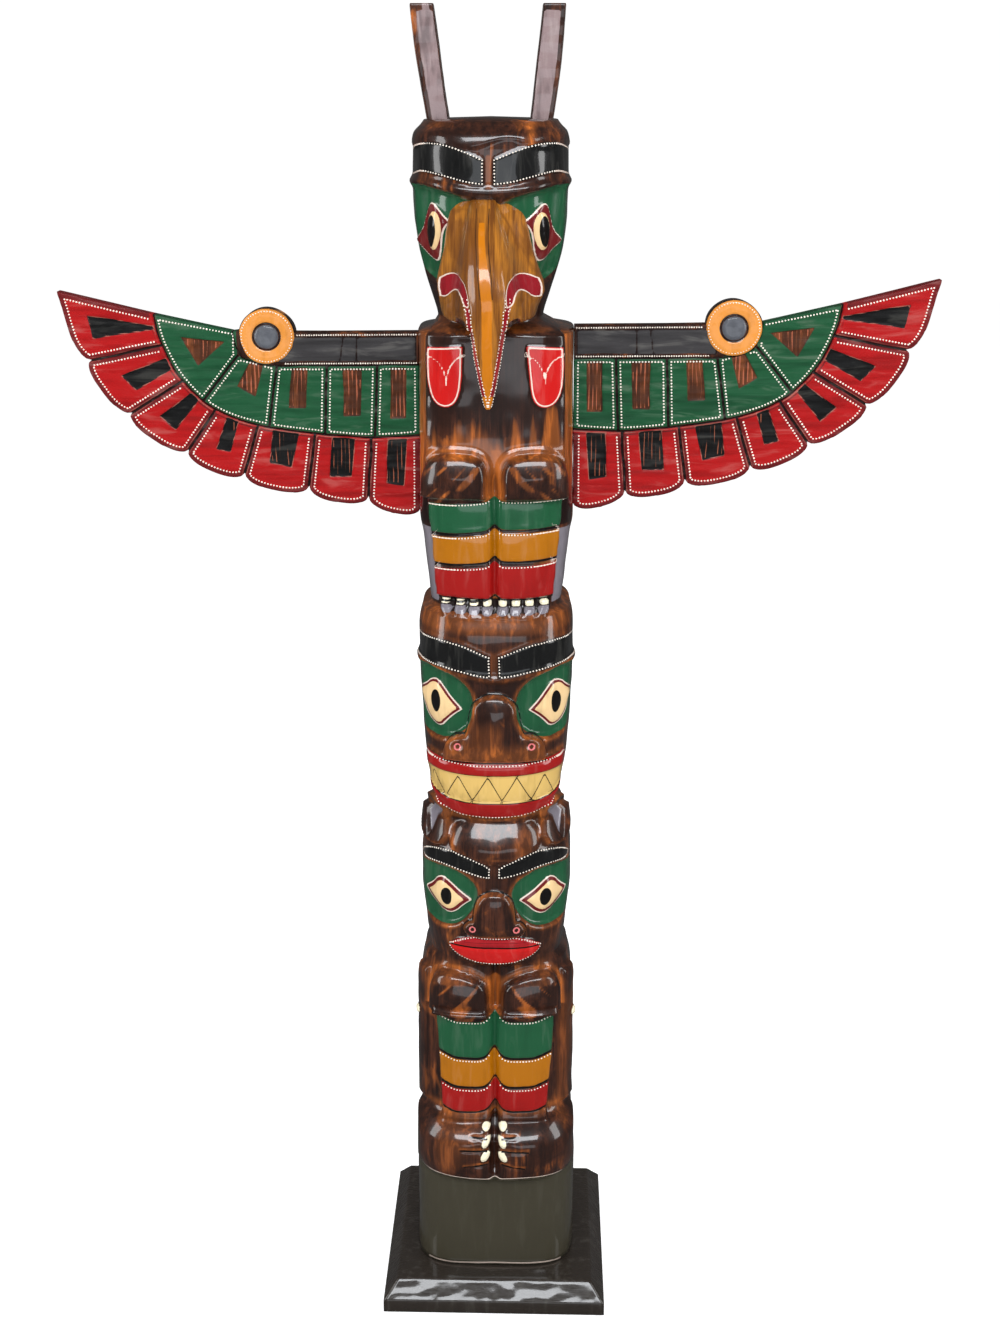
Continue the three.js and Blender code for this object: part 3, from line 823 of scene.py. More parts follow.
def carveBeastHead(log):
    # beast's head
    w, a, z = log.w, log.a, log.z
    f, r = beastFace, beastFace["relief"]
    brow, hollow, rim, white, pupil = faceFields(f, w, a, z)
    nose = inside(w, z, rounded(f["nose"], 1))
    mouth = inside(w, z, rounded(f["mouth"]))
    teeth = inside(w, z, rounded(f["teeth"], 1))
    head = between(z, "beastHead")
    ring = f["nostril"][1] - np.hypot(a - f["nostril"][0][0], z - f["nostril"][0][1])
    log.rise += (raised(brow, *r["brow"]) + raised(hollow, *r["hollow"]) + raised(rim, *r["rim"])) * log.fade
    log.rise += raised(white, *r["white"]) + raised(nose, *r["nose"]) + raised(ring, *r["nostril"])
    jaws = raised(mouth, *r["mouth"]) + raised(teeth, *r["teeth"])
    log.rise += jaws * (0.25 + 0.75 * ease((98 - a) / 22))
    underBrow = 3.5 * np.exp(-((z - 767 - 9 * ease(a / 70)) / 4.0) ** 2) * ease((150 - a) / 20)
    log.rise += underBrow * (z > 750) * (z < 795)
    log.coat("green", hollow)
    log.coat("black", brow)
    log.coat("crimson", rim)
    log.coat("red", mouth)
    log.coat("cream", white)
    log.coat("tooth", teeth)
    log.coat("ink", pupil)
    pitch = f["teethPitch"]
    saw = np.abs(((w + 8) / pitch) % 1 - 0.5) * 2
    zigzag = (z - (624 + 29 * saw)) * (pitch / 2) / math.hypot(pitch / 2, 29)
    inTeeth = (teeth > 1.5) & (a < 78)
    log.drawn("groove", np.where(inTeeth, zigzag, np.where(teeth > -2, 9, -9)), 0.5)
    log.rise -= np.where(inTeeth, 0.9 * np.exp(-(zigzag / 1.1) ** 2), 0)
    log.drawn("edge", rim, 0.7)
    log.drawn("edge", np.where(head & (a > 92), brow - 1.2, -9), 0.7)
    log.drawn("edge", np.where(head & (a > 70), mouth - 1.6, -9), 0.6)
    log.drawn("groove", np.where(head & (teeth < 2), teeth + 0.3, -9), 0.45)
    log.drawn("groove", nose + 1.2, 0.8)
    log.rise -= 1.6 * halo(nose, 1.5, -1.2)
    log.drawn("pink", np.where(head, ring - 1.4, -9), 0.75)
    log.warm += 0.8 * halo(nose, 1.6, 1.0)
    log.warm += (0.7 * halo(hollow, 2.5, -2.5) * (a < 110) + 0.35 * halo(brow, 2.5, -3)) * head
    log.warm += np.where(head, 0.55 * ease((700 - z) / 18) * ease((z - 672) / 6) * (a < 58), 0)
    log.warm += np.where((z > 812) & (z < 842), 0.55 * ease((z - 812) / 12), 0)
    log.warm += np.where(teeth > 0, 0, 0.5 * halo(mouth, 3, -3) * head)


def carveBearHead(log):
    # bear's head
    w, a, z = log.w, log.a, log.z
    f, r = bearFace, bearFace["relief"]
    brow, hollow, rim, white, pupil = faceFields(f, w, a, z)
    nose = inside(w, z, rounded(f["nose"], 1))
    mouth = inside(w, z, rounded(f["mouth"], 1))
    ear = inside(a, z, rounded(f["ear"], 1))
    earHollow = inside(a, z, rounded(f["earHollow"], 1))
    head = between(z, "bearHead")
    ring = f["nostril"][1] - np.hypot(a - f["nostril"][0][0], z - f["nostril"][0][1])
    log.rise += (raised(brow, *r["brow"]) + raised(hollow, *r["hollow"]) + raised(rim, *r["rim"])) * log.fade
    log.rise += raised(white, *r["white"]) + raised(nose, *r["nose"]) + raised(ring, *r["nostril"])
    log.rise += raised(mouth, *r["mouth"]) + raised(ear, *r["ear"]) + raised(earHollow, *r["earHollow"])
    dome = 1 - (w / 54) ** 2 - ((z - 572) / 27) ** 2
    log.rise += 8.5 * np.sqrt(np.clip(dome, 0, 1)) * (z < 598)
    log.rise -= 2.2 * np.exp(-((z - 443) / 1.5) ** 2) * (mouth > 0)
    log.coat("green", hollow)
    log.coat("black", brow)
    log.coat("crimson", rim)
    log.coat("lip", np.minimum(mouth, z - 444 - 3 * (a / 50) ** 2))
    log.coat("vermilion", mouth)
    log.coat("cream", white)
    log.coat("ink", pupil)
    log.drawn("groove", np.where(mouth > -0.5, z - 443, -9), 0.9)
    log.drawn("edge", rim, 0.7)
    log.drawn("edge", np.where(head & (a > 92), brow - 1.2, -9), 0.6)
    log.drawn("groove", nose + 1.0, 0.7)
    log.rise -= 1.4 * halo(nose, 1.4, -1.0)
    log.drawn("pink", np.where(head, ring - 1.3, -9), 0.7)
    # painted reflection: grey in the ear hollows
    log.coat("ash", np.where(earHollow > -1, earHollow - 1.5, -9))
    log.warm += 0.7 * halo(nose, 1.5, 1.0) + 0.8 * halo(ear, 2.0, 0.6)
    log.warm += 0.6 * halo(hollow, 2.5, -2.5) * (a < 110) * head
    clouds = 0.8 * ease(lattice(np.stack([w, w * 0, z], 1), 17, 8) * 1.6)
    log.warm += np.where(head & (z > 552) & (a < 52), clouds, 0)


def carveBearBody(log):
    # bear's knees, legs, arms and feet
    w, a, z = log.w, log.a, log.z
    knee = inside(a, z, rounded(bearFace["knee"]))
    legSide = legEdge(bearBands, z)
    legs = np.minimum(legSide - a, np.minimum(z - 222, 358 - z))
    body = between(z, "bearBody")
    log.rise += np.where(body, raised(knee, 11, 6, 12, 18), 0)
    log.rise += np.where(body, raised(legs, 9, 4.5, 4, 16), 0)
    log.rise -= np.where(body, 8 * np.exp(-(a / 4.2) ** 2), 0)
    arch = halo(knee, 2.8, -4.5) * (z > 355) * (z < 425)
    log.rise += 2.8 * arch
    log.warm += 0.9 * arch
    arm = np.minimum(12 - np.abs(a - 93), np.minimum(z - 232, 398 - z))
    log.rise += np.where(body, raised(arm, 6, 5), 0)
    for name in ("green", "yellow", "red"):
        low, high = bearBands[name]
        bottom, top = bandLine("bear", w, low), bandLine("bear", w, high)
        here = (z > 215) & (z < 368)
        log.coat(name, np.where(here, np.minimum(np.minimum(z - bottom, top - z), legSide - a), -9))
        log.drawn("groove", np.where(here & (a < legSide + 1), z - bottom + 1.6, -9), 1.1)
        log.rise -= np.where(here & (a < legSide + 3), 1.8 * np.exp(-((z - bottom + 1.6) / 1.4) ** 2), 0)
    feet = between(z, "feet")
    lobe = np.minimum(np.minimum(a - 3, 112 - a), np.minimum(z - 152, 222 - z))
    log.rise += np.where(feet, raised(lobe, 4, 8, 9, 16), 0)
    log.rise -= np.where(feet, 7 * np.exp(-(a / 4) ** 2) * ease((z - 158) / 10), 0)
    for zLine, reach, lean in ((205, 30, 0.1), (192, 40, 0.02), (176, 36, -0.12)):
        toe = z - zLine - lean * a
        here = feet & (a < reach) & (a > 7)
        log.rise -= np.where(here, 2.4 * np.exp(-(toe / 1.6) ** 2) * ease((reach - a) / 8), 0)
        log.drawn("groove", np.where(here, toe, -9), 0.9)
        log.warm += np.where(here, 0.9 * np.exp(-((toe - 2.2) / 1.4) ** 2), 0)
    nail = log.none.copy()
    for at, up, rw, rz, turn in toes["bearNails"]:
        nail = np.maximum(nail, np.where((z > 165) & (z < 225), oval(a, z, (at, up), (rw, rz), turn), -9))
    claw = np.where((z > 325) & (z < 352), oval(a, z, (98, 340), (4.5, 5.5)), -9)
    log.rise += raised(nail, 1.8, 2.2, 1.4, 3) + raised(claw, 2.5, 2.5, 1.5, 3)
    log.coat("bone", np.maximum(nail, claw))


def paintFoot(log):
    # black foot below the carving, and painted highlight lines along its two ends
    w, a, z = log.w, log.a, log.z
    edge = 157 - 2 * ease((a - 60) / 40) + 1.2 * np.sin(w / 21)
    log.paint["olive"] = np.where(z < 200, edge - z, -9)
    # painted highlight: a pale line along the top edge of the black foot
    log.drawn("edge", np.where((z > 150) & (z < 170) & (a < 100), edge - z + 0.2, -9), 0.45)
    # painted highlight: a pale line at the foot's lower edge, by the plinth
    log.drawn("edge", np.where((z < 60) & (a < 82), z - 38.2, 9), 0.9)


def warmStain(log):
    # where the stain was rubbed thin and the amber shows
    w, a, z = log.w, log.a, log.z
    clefts = (z > 955) & (z < 1024) | (z > 345) & (z < 400) | (z > 255) & (z < 290)
    log.warm += np.exp(-(a / 6) ** 2) * clefts
    acrossOnly = np.stack([w, w * 0, w * 0], 1)
    tongue = lattice(acrossOnly, 8, 4) + 0.6 * lattice(acrossOnly, 3.4, 6)
    flames = ease((z - 1010) / 8) * ease((1050 + 24 * tongue - z) / 26)
    log.warm += flames * (a < 75)
    strip = ease((a - 76) / 3) * ease((104 - a) / 6) * ease((z - 965) / 30) * ease((1152 - z) / 6)
    log.warm += strip
    slanted = np.stack([(a * 0.78 + z * 0.62) / 4.6, w * 0, (z * 0.78 - a * 0.62) / 26], 1)
    kneeZone = (z > 962) & (z < 1006) & (a > 14) & (a < 68)
    kneeZone |= (z > 346) & (z < 392) & (a > 14) & (a < 66)
    log.warm += np.where(kneeZone, ease((lattice(slanted, 1.0, 12) - 0.3) * 2.4) - 0.35, 0)
    log.warm += 0.5 * np.exp(-((z - 232) / 4) ** 2) + 0.35 * ((z > 597) & (z < 604))
    broad = lattice(np.stack([w * 0.8, w * 0, z * 0.5], 1), 22, 14)
    log.warm += np.where(z < 1352, 0.36 * ease((broad - 0.1) * 1.8), 0)
    inChest = ease((z - 1048 - 14 * tongue) / 22) * ease((1150 - z) / 3) * ease((73 - a) / 3)
    log.warm = np.where(z < 1155, log.warm * (1 - inChest) - 0.9 * inChest, log.warm)
    log.warm -= 0.9 * ease((z - 1166) / 4) * ease((1228 - z) / 30) * ease((a - 50) / 8)
    log.warm -= 0.5 * ease((z - 1352) / 6) * ease((36 - np.abs(w + 6)) / 14)


def carve(points, around):
    log = Carving(points, around)
    carveEagleHead(log)
    carveChest(log)
    carveToes(log)
    carveBeastHead(log)
    carveBearHead(log)
    carveBearBody(log)
    paintFoot(log)
    warmStain(log)
    return log.rise, log.fields()


def buildLog():
    points, normals, around, rows = baseLog()
    rise, paint = carve(points, around)
    shape = points.shape[:2]
    rise = rise.reshape(shape)
    flat = points.reshape(-1, 3)
    knife = 0.45 * lattice(flat, 17, 21) + 0.8 * lattice(flat, 52, 22)
    rise = rise + knife.reshape(shape)
    final = points + normals * rise[..., None]
    final[0, :, 2] = 35.5
    ends = [[0, 0, 35.5], [logShape["headShift"], 0, 1380.5]]
    allPoints = np.vstack([final.reshape(-1, 3), ends])
    fields = {k: np.concatenate([v, [v[0], v[-1]]]) for k, v in paint.items()}
    piece = makeMesh("carved_log", allPoints, ringQuads(*shape), fields, endFans(*shape))
    return piece, final, rows


logPiece, logSurface, logTable = buildLog()
logOrder = ("ochre", "green", "yellow", "red", "vermilion", "lip", "black", "soot", "ash", "olive",
            "crimson", "cream", "tooth", "bone", "ink")
logCoats = [(name, name) for name in logOrder]
# groove lines are painted shade: near black along the carved grooves
logCoats += [("pinkLine", "pink"), ("grooveLine", "ink"), ("edgeLine", "line")]
logMaterial = lacquered("log_finish", logCoats, warmField="warm")
place(logPiece, logMaterial, "carved_log", "pole")
print("log carved:", len(logPiece.data.vertices), "vertices")

# raised dots of white enamel

dots = {"pitch": 3.5, "radius": 1.2, "rise": 0.75, "sides": 7}
enamel = bpy.data.materials.new("white_enamel")
enamel.use_nodes = True
enamelShader = enamel.node_tree.nodes["Principled BSDF"]
enamelCoords = enamel.node_tree.nodes.new("ShaderNodeTexCoord").outputs["Object"]
enamelCloud = noiseNode(enamel.node_tree, enamelCoords, 60, 2.0)
enamelTone = mixColour(enamel.node_tree, enamelCloud, rgb(226, 208, 190), rgb(250, 244, 234))
link(enamel.node_tree, enamelTone, enamelShader.inputs["Base Color"])
enamelShader.inputs["Roughness"].default_value = 0.35


def domes(name, centres, normals, slotName, radius=None):
    # small closed beads, each set a little into the surface
    radius = radius or dots["radius"]
    c, n = np.asarray(centres, float), np.asarray(normals, float)
    size = radius * (1 + 0.16 * lattice(c, 3.1, 77))[:, None]
    helper = np.where(np.abs(n[:, 2:3]) < 0.9, [[0, 0, 1]], [[1, 0, 0]])
    a = np.cross(helper, n)
    a /= np.linalg.norm(a, axis=1)[:, None]
    b = np.cross(n, a)
    rings = [c - n * 0.5]
    count = dots["sides"]
    for share, up in ((1.0, -0.25), (0.72, 0.62)):
        for k in range(count):
            t = 2 * math.pi * k / count
            out = (a * math.cos(t) + b * math.sin(t)) * size * share
            rings.append(c + out + n * dots["rise"] * up)
    rings.append(c + n * dots["rise"])
    points = np.stack(rings, 1).reshape(-1, 3)
    one = []
    top = 2 * count + 1
    for k in range(count):
        m = (k + 1) % count
        outer, inner = (1 + k, 1 + m), (1 + count + k, 1 + count + m)
        one += [(0, outer[1], outer[0]), (outer[0], outer[1], inner[1]), (outer[0], inner[1], inner[0]),
                (inner[0], inner[1], top)]
    faces = (np.array(one)[None] + (top + 1) * np.arange(len(c))[:, None, None]).reshape(-1, 3)
    piece = makeMesh(name, points, faces)
    return place(piece, enamel, slotName)


def onLog(points):
    # drawing coordinates on the log to its finished surface, with the way the surface faces
    p = np.asarray(points, float)
    driftW, driftZ = handDrift(p[:, 0], p[:, 1])
    w, z = p[:, 0] - driftW, p[:, 1] - driftZ
    heights = logTable[:, 0]
    count = logSurface.shape[1]
    pitch = logShape["frontReach"] / (logShape["frontColumns"] - 1)
    row = np.interp(z, heights, np.arange(len(heights)))
    column = np.clip(w / pitch, -logShape["frontColumns"] + 2, logShape["frontColumns"] - 2)

    def at(r, c):
        r0, c0 = np.floor(r).astype(int), np.floor(c).astype(int)
        fr, fc = (r - r0)[:, None], (c - c0)[:, None]
        total = 0
        for i, rowShare in ((r0, 1 - fr), (r0 + 1, fr)):
            i = np.clip(i, 0, len(heights) - 1)
            for j, columnShare in ((c0, 1 - fc), (c0 + 1, fc)):
                total = total + logSurface[i, j % count] * rowShare * columnShare
        return total

    centre = at(row, column)
    along = at(row, column + 0.8) - at(row, column - 0.8)
    up = at(row + 0.8, column) - at(row - 0.8, column)
    normal = np.cross(along, up)
    return centre, normal / (np.linalg.norm(normal, axis=1)[:, None] + 1e-9)


def dottedOutlines():
    spots = []
    for face, reach, depth in ((eagleFace, 78, 1.4), (beastFace, 96, 1.3), (bearFace, 96, 1.3)):
        line = inset(rounded(face["brow"]), depth)
        line = alongPath(line, dots["pitch"])
        line = line[line[:, 0] < reach]
        spots += [line, line * [-1, 1]]
    mouth = alongPath(inset(rounded(beastFace["mouth"]), 1.5), dots["pitch"])
    spots.append(mouth[np.abs(mouth[:, 0]) < 72])
    spots.append(alongPath(inset(rounded(bearFace["mouth"], 1), 1.0), 3.2))
    for kind, bands in (("eagle", eagleBands), ("bear", bearBands)):
        for name in ("green", "yellow", "red"):
            high = bands[name][1]
            side = legEdge(bands, high)
            across = np.arange(6, side - 2, dots["pitch"] * 0.93)
            across = np.concatenate([-across[::-1], across])
            spots.append(np.stack([across, bandLine(kind, across, high) - 1.4], 1))
    centre, normal = onLog(np.vstack(spots))
    return domes("dots_log", centre, normal, "carved_log", 1.05)


dottedOutlines()

# the wings, drawn for the right and mirrored for the left

wingShape = {
    "top": [(86.3, 1148.5), (133, 1148.5), (190, 1148.5), (238, 1149), (258, 1149.5), (272, 1150),
            (281, 1150.5), (286, 1151)],
    "arm": [(86.3, 1111.5), (133, 1111.5), (189.5, 1111.5), (241, 1111.5), (265, 1113), (284, 1121),
            (291, 1136), (294, 1150)],
    "short": [(86.3, 1031.5), (140.5, 1028.7), (204, 1034), (268, 1044), (316, 1061.7), (351.5, 1095),
              (373, 1134.7), (382, 1169.5)],
    "long": [(86.3, 946.4), (145, 960), (212.4, 972), (285, 988), (348, 1015), (411, 1058),
             (454, 1118.5), (488.8, 1196)],
    "feathers": 7,                  # long ones
    "drawnRoot": 86.3,
    "drawnTip": 488.8,
    "drawnTop": 1196.0,
    "face": (12.0, 10.0, 8.0),      # how far the arm, short and long feathers stand off the middle plane
    "back": 8.0,
    "dotInset": 6.0,
    "shortDotInset": 4.4,
    "droop": 12.5,                  # how far a long feather's end hangs past its corners
    "columns": 30,
    "shortTops": [(86.3, 1111.5), (133, 1111.5), (189.5, 1111.5), (245.5, 1111.8), (289, 1123)],
    "shortLows": [86.3, 136, 192, 255, 329],
    # dark cells: the two sides at the top, the two at the bottom and the depth, as shares of a feather
    "longCells": [(0.33, 0.70, 0.33, 0.68, 0.62), (0.30, 0.70, 0.30, 0.68, 0.64),
                  (0.27, 0.72, 0.30, 0.66, 0.58), (0.42, 0.70, 0.34, 0.60, 0.62),
                  (0.42, 0.66, 0.34, 0.68, 0.64), (0.36, 0.66, 0.28, 0.62, 0.66),
                  (0.46, 0.56, 0.30, 0.68, 0.74)],
    "shortCells": [[(0.30, 0.04), (0.68, 0.04), (0.66, 0.74), (0.30, 0.74)],
                   [(0.30, 0.04), (0.68, 0.04), (0.64, 0.72), (0.30, 0.70)],
                   [(0.38, 0.04), (0.70, 0.04), (0.68, 0.66), (0.36, 0.64)],
                   [(0.34, 0.05), (0.66, 0.05), (0.66, 0.52), (0.30, 0.60)]],
    "lastCell": [(303, 1139), (352, 1144), (334, 1112)],
    "bar": [(90, 1117), (243, 1117), (243, 1143.5), (90, 1143)],
    "barCuts": [[(170, 1144), (174, 1116)], [(155, 1144), (156, 1116)]],
    "roundel": {
        "left": 255.5, "right": 262.5, "z": 1144.8, "radius": 31.5, "around": 96,
        "dots": 54, "dotRadius": 28.2,
        # radius and height above the middle plane, from the back to the boss
        "profile": [(0.0, -5.0), (30.0, -5.0), (31.5, -3.5), (31.5, 10.0), (30.6, 12.0), (29.0, 13.2),
                    (24.0, 13.8), (16.6, 13.4), (15.4, 12.0), (14.6, 12.0), (13.6, 14.0), (10.6, 15.6),
                    (4.0, 15.4), (0.0, 15.2)],
    },
}


def curve(points, u):
    # a smooth curve through the stops, one feather to each step of u
    p = np.asarray(points, float)
    u = np.clip(np.asarray(u, float), 0, len(p) - 1)
    i = np.minimum(u.astype(int), len(p) - 2)
    f = (u - i)[..., None]
    before, after = np.maximum(i - 1, 0), np.minimum(i + 2, len(p) - 1)
    a, b, c, d = p[before], p[i], p[i + 1], p[after]
    bend, twist = 2 * a - 5 * b + 4 * c - d, 3 * b - a - 3 * c + d
    return 0.5 * (2 * b + (c - a) * f + bend * f ** 2 + twist * f ** 3)


def straight(points, u):
    p = np.asarray(points, float)
    at = np.arange(len(p))
    return np.stack([np.interp(u, at, p[:, 0]), np.interp(u, at, p[:, 1])], -1)


def featherEnd(u):
    # the scalloped outer edge of the long feathers
    u = np.asarray(u, float)
    base = straight(wingShape["long"], u)
    inner = curve(wingShape["short"], u)
    out = base - inner
    out /= np.linalg.norm(out, axis=-1)[..., None] + 1e-9
    f = u - np.minimum(np.floor(u), 6)
    last = ease(u - 6)
    drop = wingShape["droop"] * np.clip(1 - np.abs(2 * f - 1) ** 2.6, 0, 1) ** 0.6 * (1 - 0.75 * last)
    return base + out * drop[..., None]


def shortEdge(steps=140):
    return curve(wingShape["short"], np.arange(steps + 1) / (steps / wingShape["feathers"]))


def longFeather(i, steps=25):
    outer = np.linspace(0, 1, steps)
    inner = curve(wingShape["short"], i + outer)[::-1]
    return np.vstack([featherEnd(i + np.clip(outer, 0.004, 0.996)), inner]), inner


def shortLows(edge):
    # where the seams between the short feathers meet their lower edge
    return [(v, float(np.interp(v, edge[:, 0], edge[:, 1]))) for v in wingShape["shortLows"]]


def shortFeather(k, along, lows):
    # outline of a short feather between two seams, or of the last one, that runs to the roundel
    w = wingShape
    if k < len(lows) - 1:
        part = along[(along[:, 0] > lows[k][0]) & (along[:, 0] < lows[k + 1][0])]
        tops = [w["shortTops"][k], w["shortTops"][k + 1], lows[k + 1]]
    else:
        part = along[along[:, 0] > lows[k][0]]
        tops = [w["shortTops"][k], (289, 1151)]
    return np.array(tops + list(part[::-1]) + [lows[k]])


def wingPaint(x, z, tier, t):
    # relief and paint of the wing's face; tier 0 the arm, 1 the short feathers, 2 the long ones
    w = wingShape
    hand = np.stack([x, x * 0, z], 1)
    x = x + 0.7 * lattice(hand, 24, 31)
    z = z + 0.7 * lattice(hand, 24, 32)
    red, green, cell, shortCell, seam = (np.full(len(x), -9.0) for _ in range(5))
    for i in range(w["feathers"]):
        red = np.maximum(red, inside(x, z, longFeather(i)[0]))
        f0, f1, g0, g1, depth = w["longCells"][i]
        corners = [(f0, 0.03), (f1, 0.03), (g1, depth), (g0, depth * (0.94 if i % 2 else 1.02))]
        shape = []
        for a, b in corners:
            top, end = curve(w["short"], i + a), featherEnd(i + a)
            shape.append(top + (end - top) * b)
        cell = np.maximum(cell, inside(x, z, shape))
        if i:
            line = [curve(w["short"], i), straight(w["long"], i)]
            seam = np.maximum(seam, 1.5 - nearLine(x, z, line))
    along = shortEdge()
    lows = shortLows(shortEdge(70))
    for k in range(len(lows)):
        green = np.maximum(green, inside(x, z, shortFeather(k, along, lows)))
        if k < len(lows) - 1:
            a, b, c, d = (np.array(v) for v in (*w["shortTops"][k:k + 2], lows[k + 1], lows[k]))
            box = [(a + (b - a) * p) * (1 - q) + (d + (c - d) * p) * q for p, q in w["shortCells"][k]]
        else:
            box = w["lastCell"]
        shortCell = np.maximum(shortCell, inside(x, z, box))
        if k:
            seam = np.maximum(seam, 1.5 - nearLine(x, z, [w["shortTops"][k], lows[k]]))
    seam = np.maximum(seam, 1.2 - nearLine(x, z, along))
    seam = np.maximum(seam, 1.0 - nearLine(x, z, straight(w["arm"], np.linspace(0, 7, 40))))
    bar = inside(x, z, w["bar"])
    cuts = np.maximum(*(0.9 - nearLine(x, z, line) for line in w["barCuts"]))
    rise = -2.2 * ease((seam + 1.2) / 2.4) - 1.3 * ease(cell / 1.6 + 0.5) - 1.2 * ease(shortCell / 1.6 + 0.5)
    rise -= 1.2 * ease(cuts + 0.5) + 0.9 * (ease(1 - np.abs(bar) / 1.4)) * (bar > -3)
    rise -= 1.6 * np.clip(1 - red / 3.2, 0, 1) ** 2 * (red > 0) * (tier == 2) * (t > 0.2)
    # loose upright scratches in the unpainted cells, finer in the black ones
    wander = 1.5 * lattice(np.stack([x, x * 0, z * 0.4], 1), 12, 35)
    worn = ease(0.5 + 1.1 * lattice(np.stack([x, x * 0, z * 0.22], 1), 4.6, 36)) - 0.1
    inBlack = np.where(x < 300, 0.5 * worn - 0.12, -1.0)
    scarLine = np.abs(((x + wander) / 4.4) % 2 - 1) * 4.4 - 2.2
    fields = {
        "red": np.where(red > -1.5, red + 1.5, -9),
        "crimson": np.where(t > 0.05, np.minimum(red + 1.5, 4.9 - red), -9),
        "green": np.minimum(green, -shortCell),
        "black": cell,
        # the arm bar: black lightened to dark grey, partly a painted sheen
        "coal": bar,
        "scarLine": scarLine,
        "scarWide": np.where(shortCell > 1.2, 0.75 * worn, np.where(cell > 2, inBlack, -1.0)),
        # painted shade: dark along the carved seams, the bar's cuts and the groove round the bar
        "soot": np.maximum(np.maximum(seam, cuts), np.where(bar > -3, 0.9 - np.abs(bar + 0.4), -9)),
        "trim": np.maximum(0.5 - np.abs(cell - 0.3), np.where(tier == 2, 0.45 - np.abs(seam + 1.0), -9)),
        "warm": 0.2 * ease(shortCell),
    }
    return rise, fields


def wingRipple(x, z, side):
    where3 = np.stack([x, np.zeros_like(x), z], 1)
    return 0.55 * lattice(where3 * [0.16, 1, 1], 4.6, 41 + side) + 0.5 * lattice(where3, 19, 43 + side)


def wingPlace(x, y, z, frameOf, side):
    # drawing coordinates to space: stretched to the board's span and lifted towards the tip
    root, span, lift = frameOf
    outward = (x - wingShape["drawnRoot"]) * span / (wingShape["drawnTip"] - wingShape["drawnRoot"])
    return np.stack([side * (root + outward), y, z + lift * (0.5 + 0.5 * outward / span)], -1)


def buildWing(side, nodeName):
    w = wingShape
    low, high = (np.array(v) * 1000 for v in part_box(nodeName))
    root, tip = (low[0], high[0]) if side > 0 else (-high[0], -low[0])
    frameOf = (root, tip - root, high[2] - w["drawnTop"])
    u = np.linspace(0, w["feathers"], w["feathers"] * w["columns"] + 1)
    top, arm = straight(w["top"], u), straight(w["arm"], u)
    short, end = curve(w["short"], u), featherEnd(np.clip(u, 0.002, 6.998))
    # the rows down each tier, closer at its edges
    shares = [np.concatenate([[0.0, 0.03], np.linspace(0.07, 0.96, 15), [0.985]]),
              np.concatenate([[0.0, 0.012], np.linspace(0.03, 0.97, 44), [0.99]]),
              np.concatenate([[0.0, 0.012], np.linspace(0.03, 0.965, 46), [0.985, 1.0]])]
    xz, tier, along = [], [], []
    for k, (a, b) in enumerate(((top, arm), (arm, short), (short, end))):
        for v in shares[k]:
            xz.append(a + (b - a) * v)
            tier.append(k)
            along.append(v)
    front = np.stack(xz, 1)
    columns, rows = front.shape[:2]
    flatX, flatZ = front[..., 0].ravel(), front[..., 1].ravel()
    tierAll = np.broadcast_to(np.array(tier), (columns, rows)).ravel()
    tAll = np.broadcast_to(np.array(along), (columns, rows)).ravel()
    rise, fields = wingPaint(flatX, flatZ, tierAll, tAll)
    y = -(np.array(w["face"])[tierAll] + rise + wingRipple(flatX, flatZ, side)).reshape(columns, rows)
    y[:, [0, -1]] += 1.2
    # each column runs down the face, round the lower edge, up the back and over the top edge
    ringX, ringZ = (np.concatenate([front[..., i], front[:, -1:, i].repeat(3, 1), front[:, ::-1, i],
                                    front[:, :1, i].repeat(3, 1)], 1) for i in (0, 1))
    rough = 0.7 * lattice(np.stack([flatX * 0.3, flatX * 0, flatZ], 1), 12, 47 + side)
    behind = w["back"] - 0.6 + rough.reshape(columns, rows)[:, ::-1] * 0.8
    behind[:, [0, -1]] = w["back"] - 1.6
    lowSide, topSide = (np.stack([y[:, i] + 1.2, y[:, i] + 3.0, np.full(columns, w["back"] - 3.0)], 1)
                        for i in (-1, 0))
    ringY = np.concatenate([y, lowSide, behind, topSide[:, ::-1]], 1)
    around = ringX.shape[1]
    fieldRows = {}
    for key, v in fields.items():
        v = v.reshape(columns, rows)
        hidden = np.full((columns, rows), 0.0 if key == "warm" else -9.0)
        hidden[-1] = v[-1, ::-1]
        fieldRows[key] = np.concatenate([v, v[:, -1:].repeat(3, 1), hidden, v[:, :1].repeat(3, 1)], 1).ravel()
    points = wingPlace(ringX.ravel(), ringY.ravel(), ringZ.ravel(), frameOf, side)
    quads = ringQuads(columns, around)
    caps = []
    for start in (0, (columns - 1) * around):
        back = start + 2 * rows + 2
        strip = [(back - i, back - i - 1, start + i + 1, start + i) for i in range(rows - 1)]
        strip.append(tuple(start + rows - 1 + k for k in range(4, -1, -1)))
        strip.append((start,) + tuple(back + k for k in range(3, -1, -1)))
        caps += [c[::-1] for c in strip] if start else strip
    if side > 0:
        quads = quads[:, ::-1]
        caps = [c[::-1] for c in caps]
    piece = makeMesh(nodeName.replace("wing", "feathered_wing"), points, quads, fieldRows)
    # the two ends of the board, flat
    bm = bmesh.new()
    bm.from_mesh(piece.data)
    bm.verts.ensure_lookup_table()
    for cap in caps:
        corners = [bm.verts[i] for i in cap]
        if len(set(corners)) == len(corners):
            bm.faces.new(corners).smooth = False
    bm.to_mesh(piece.data)
    bm.free()
    return piece, frameOf


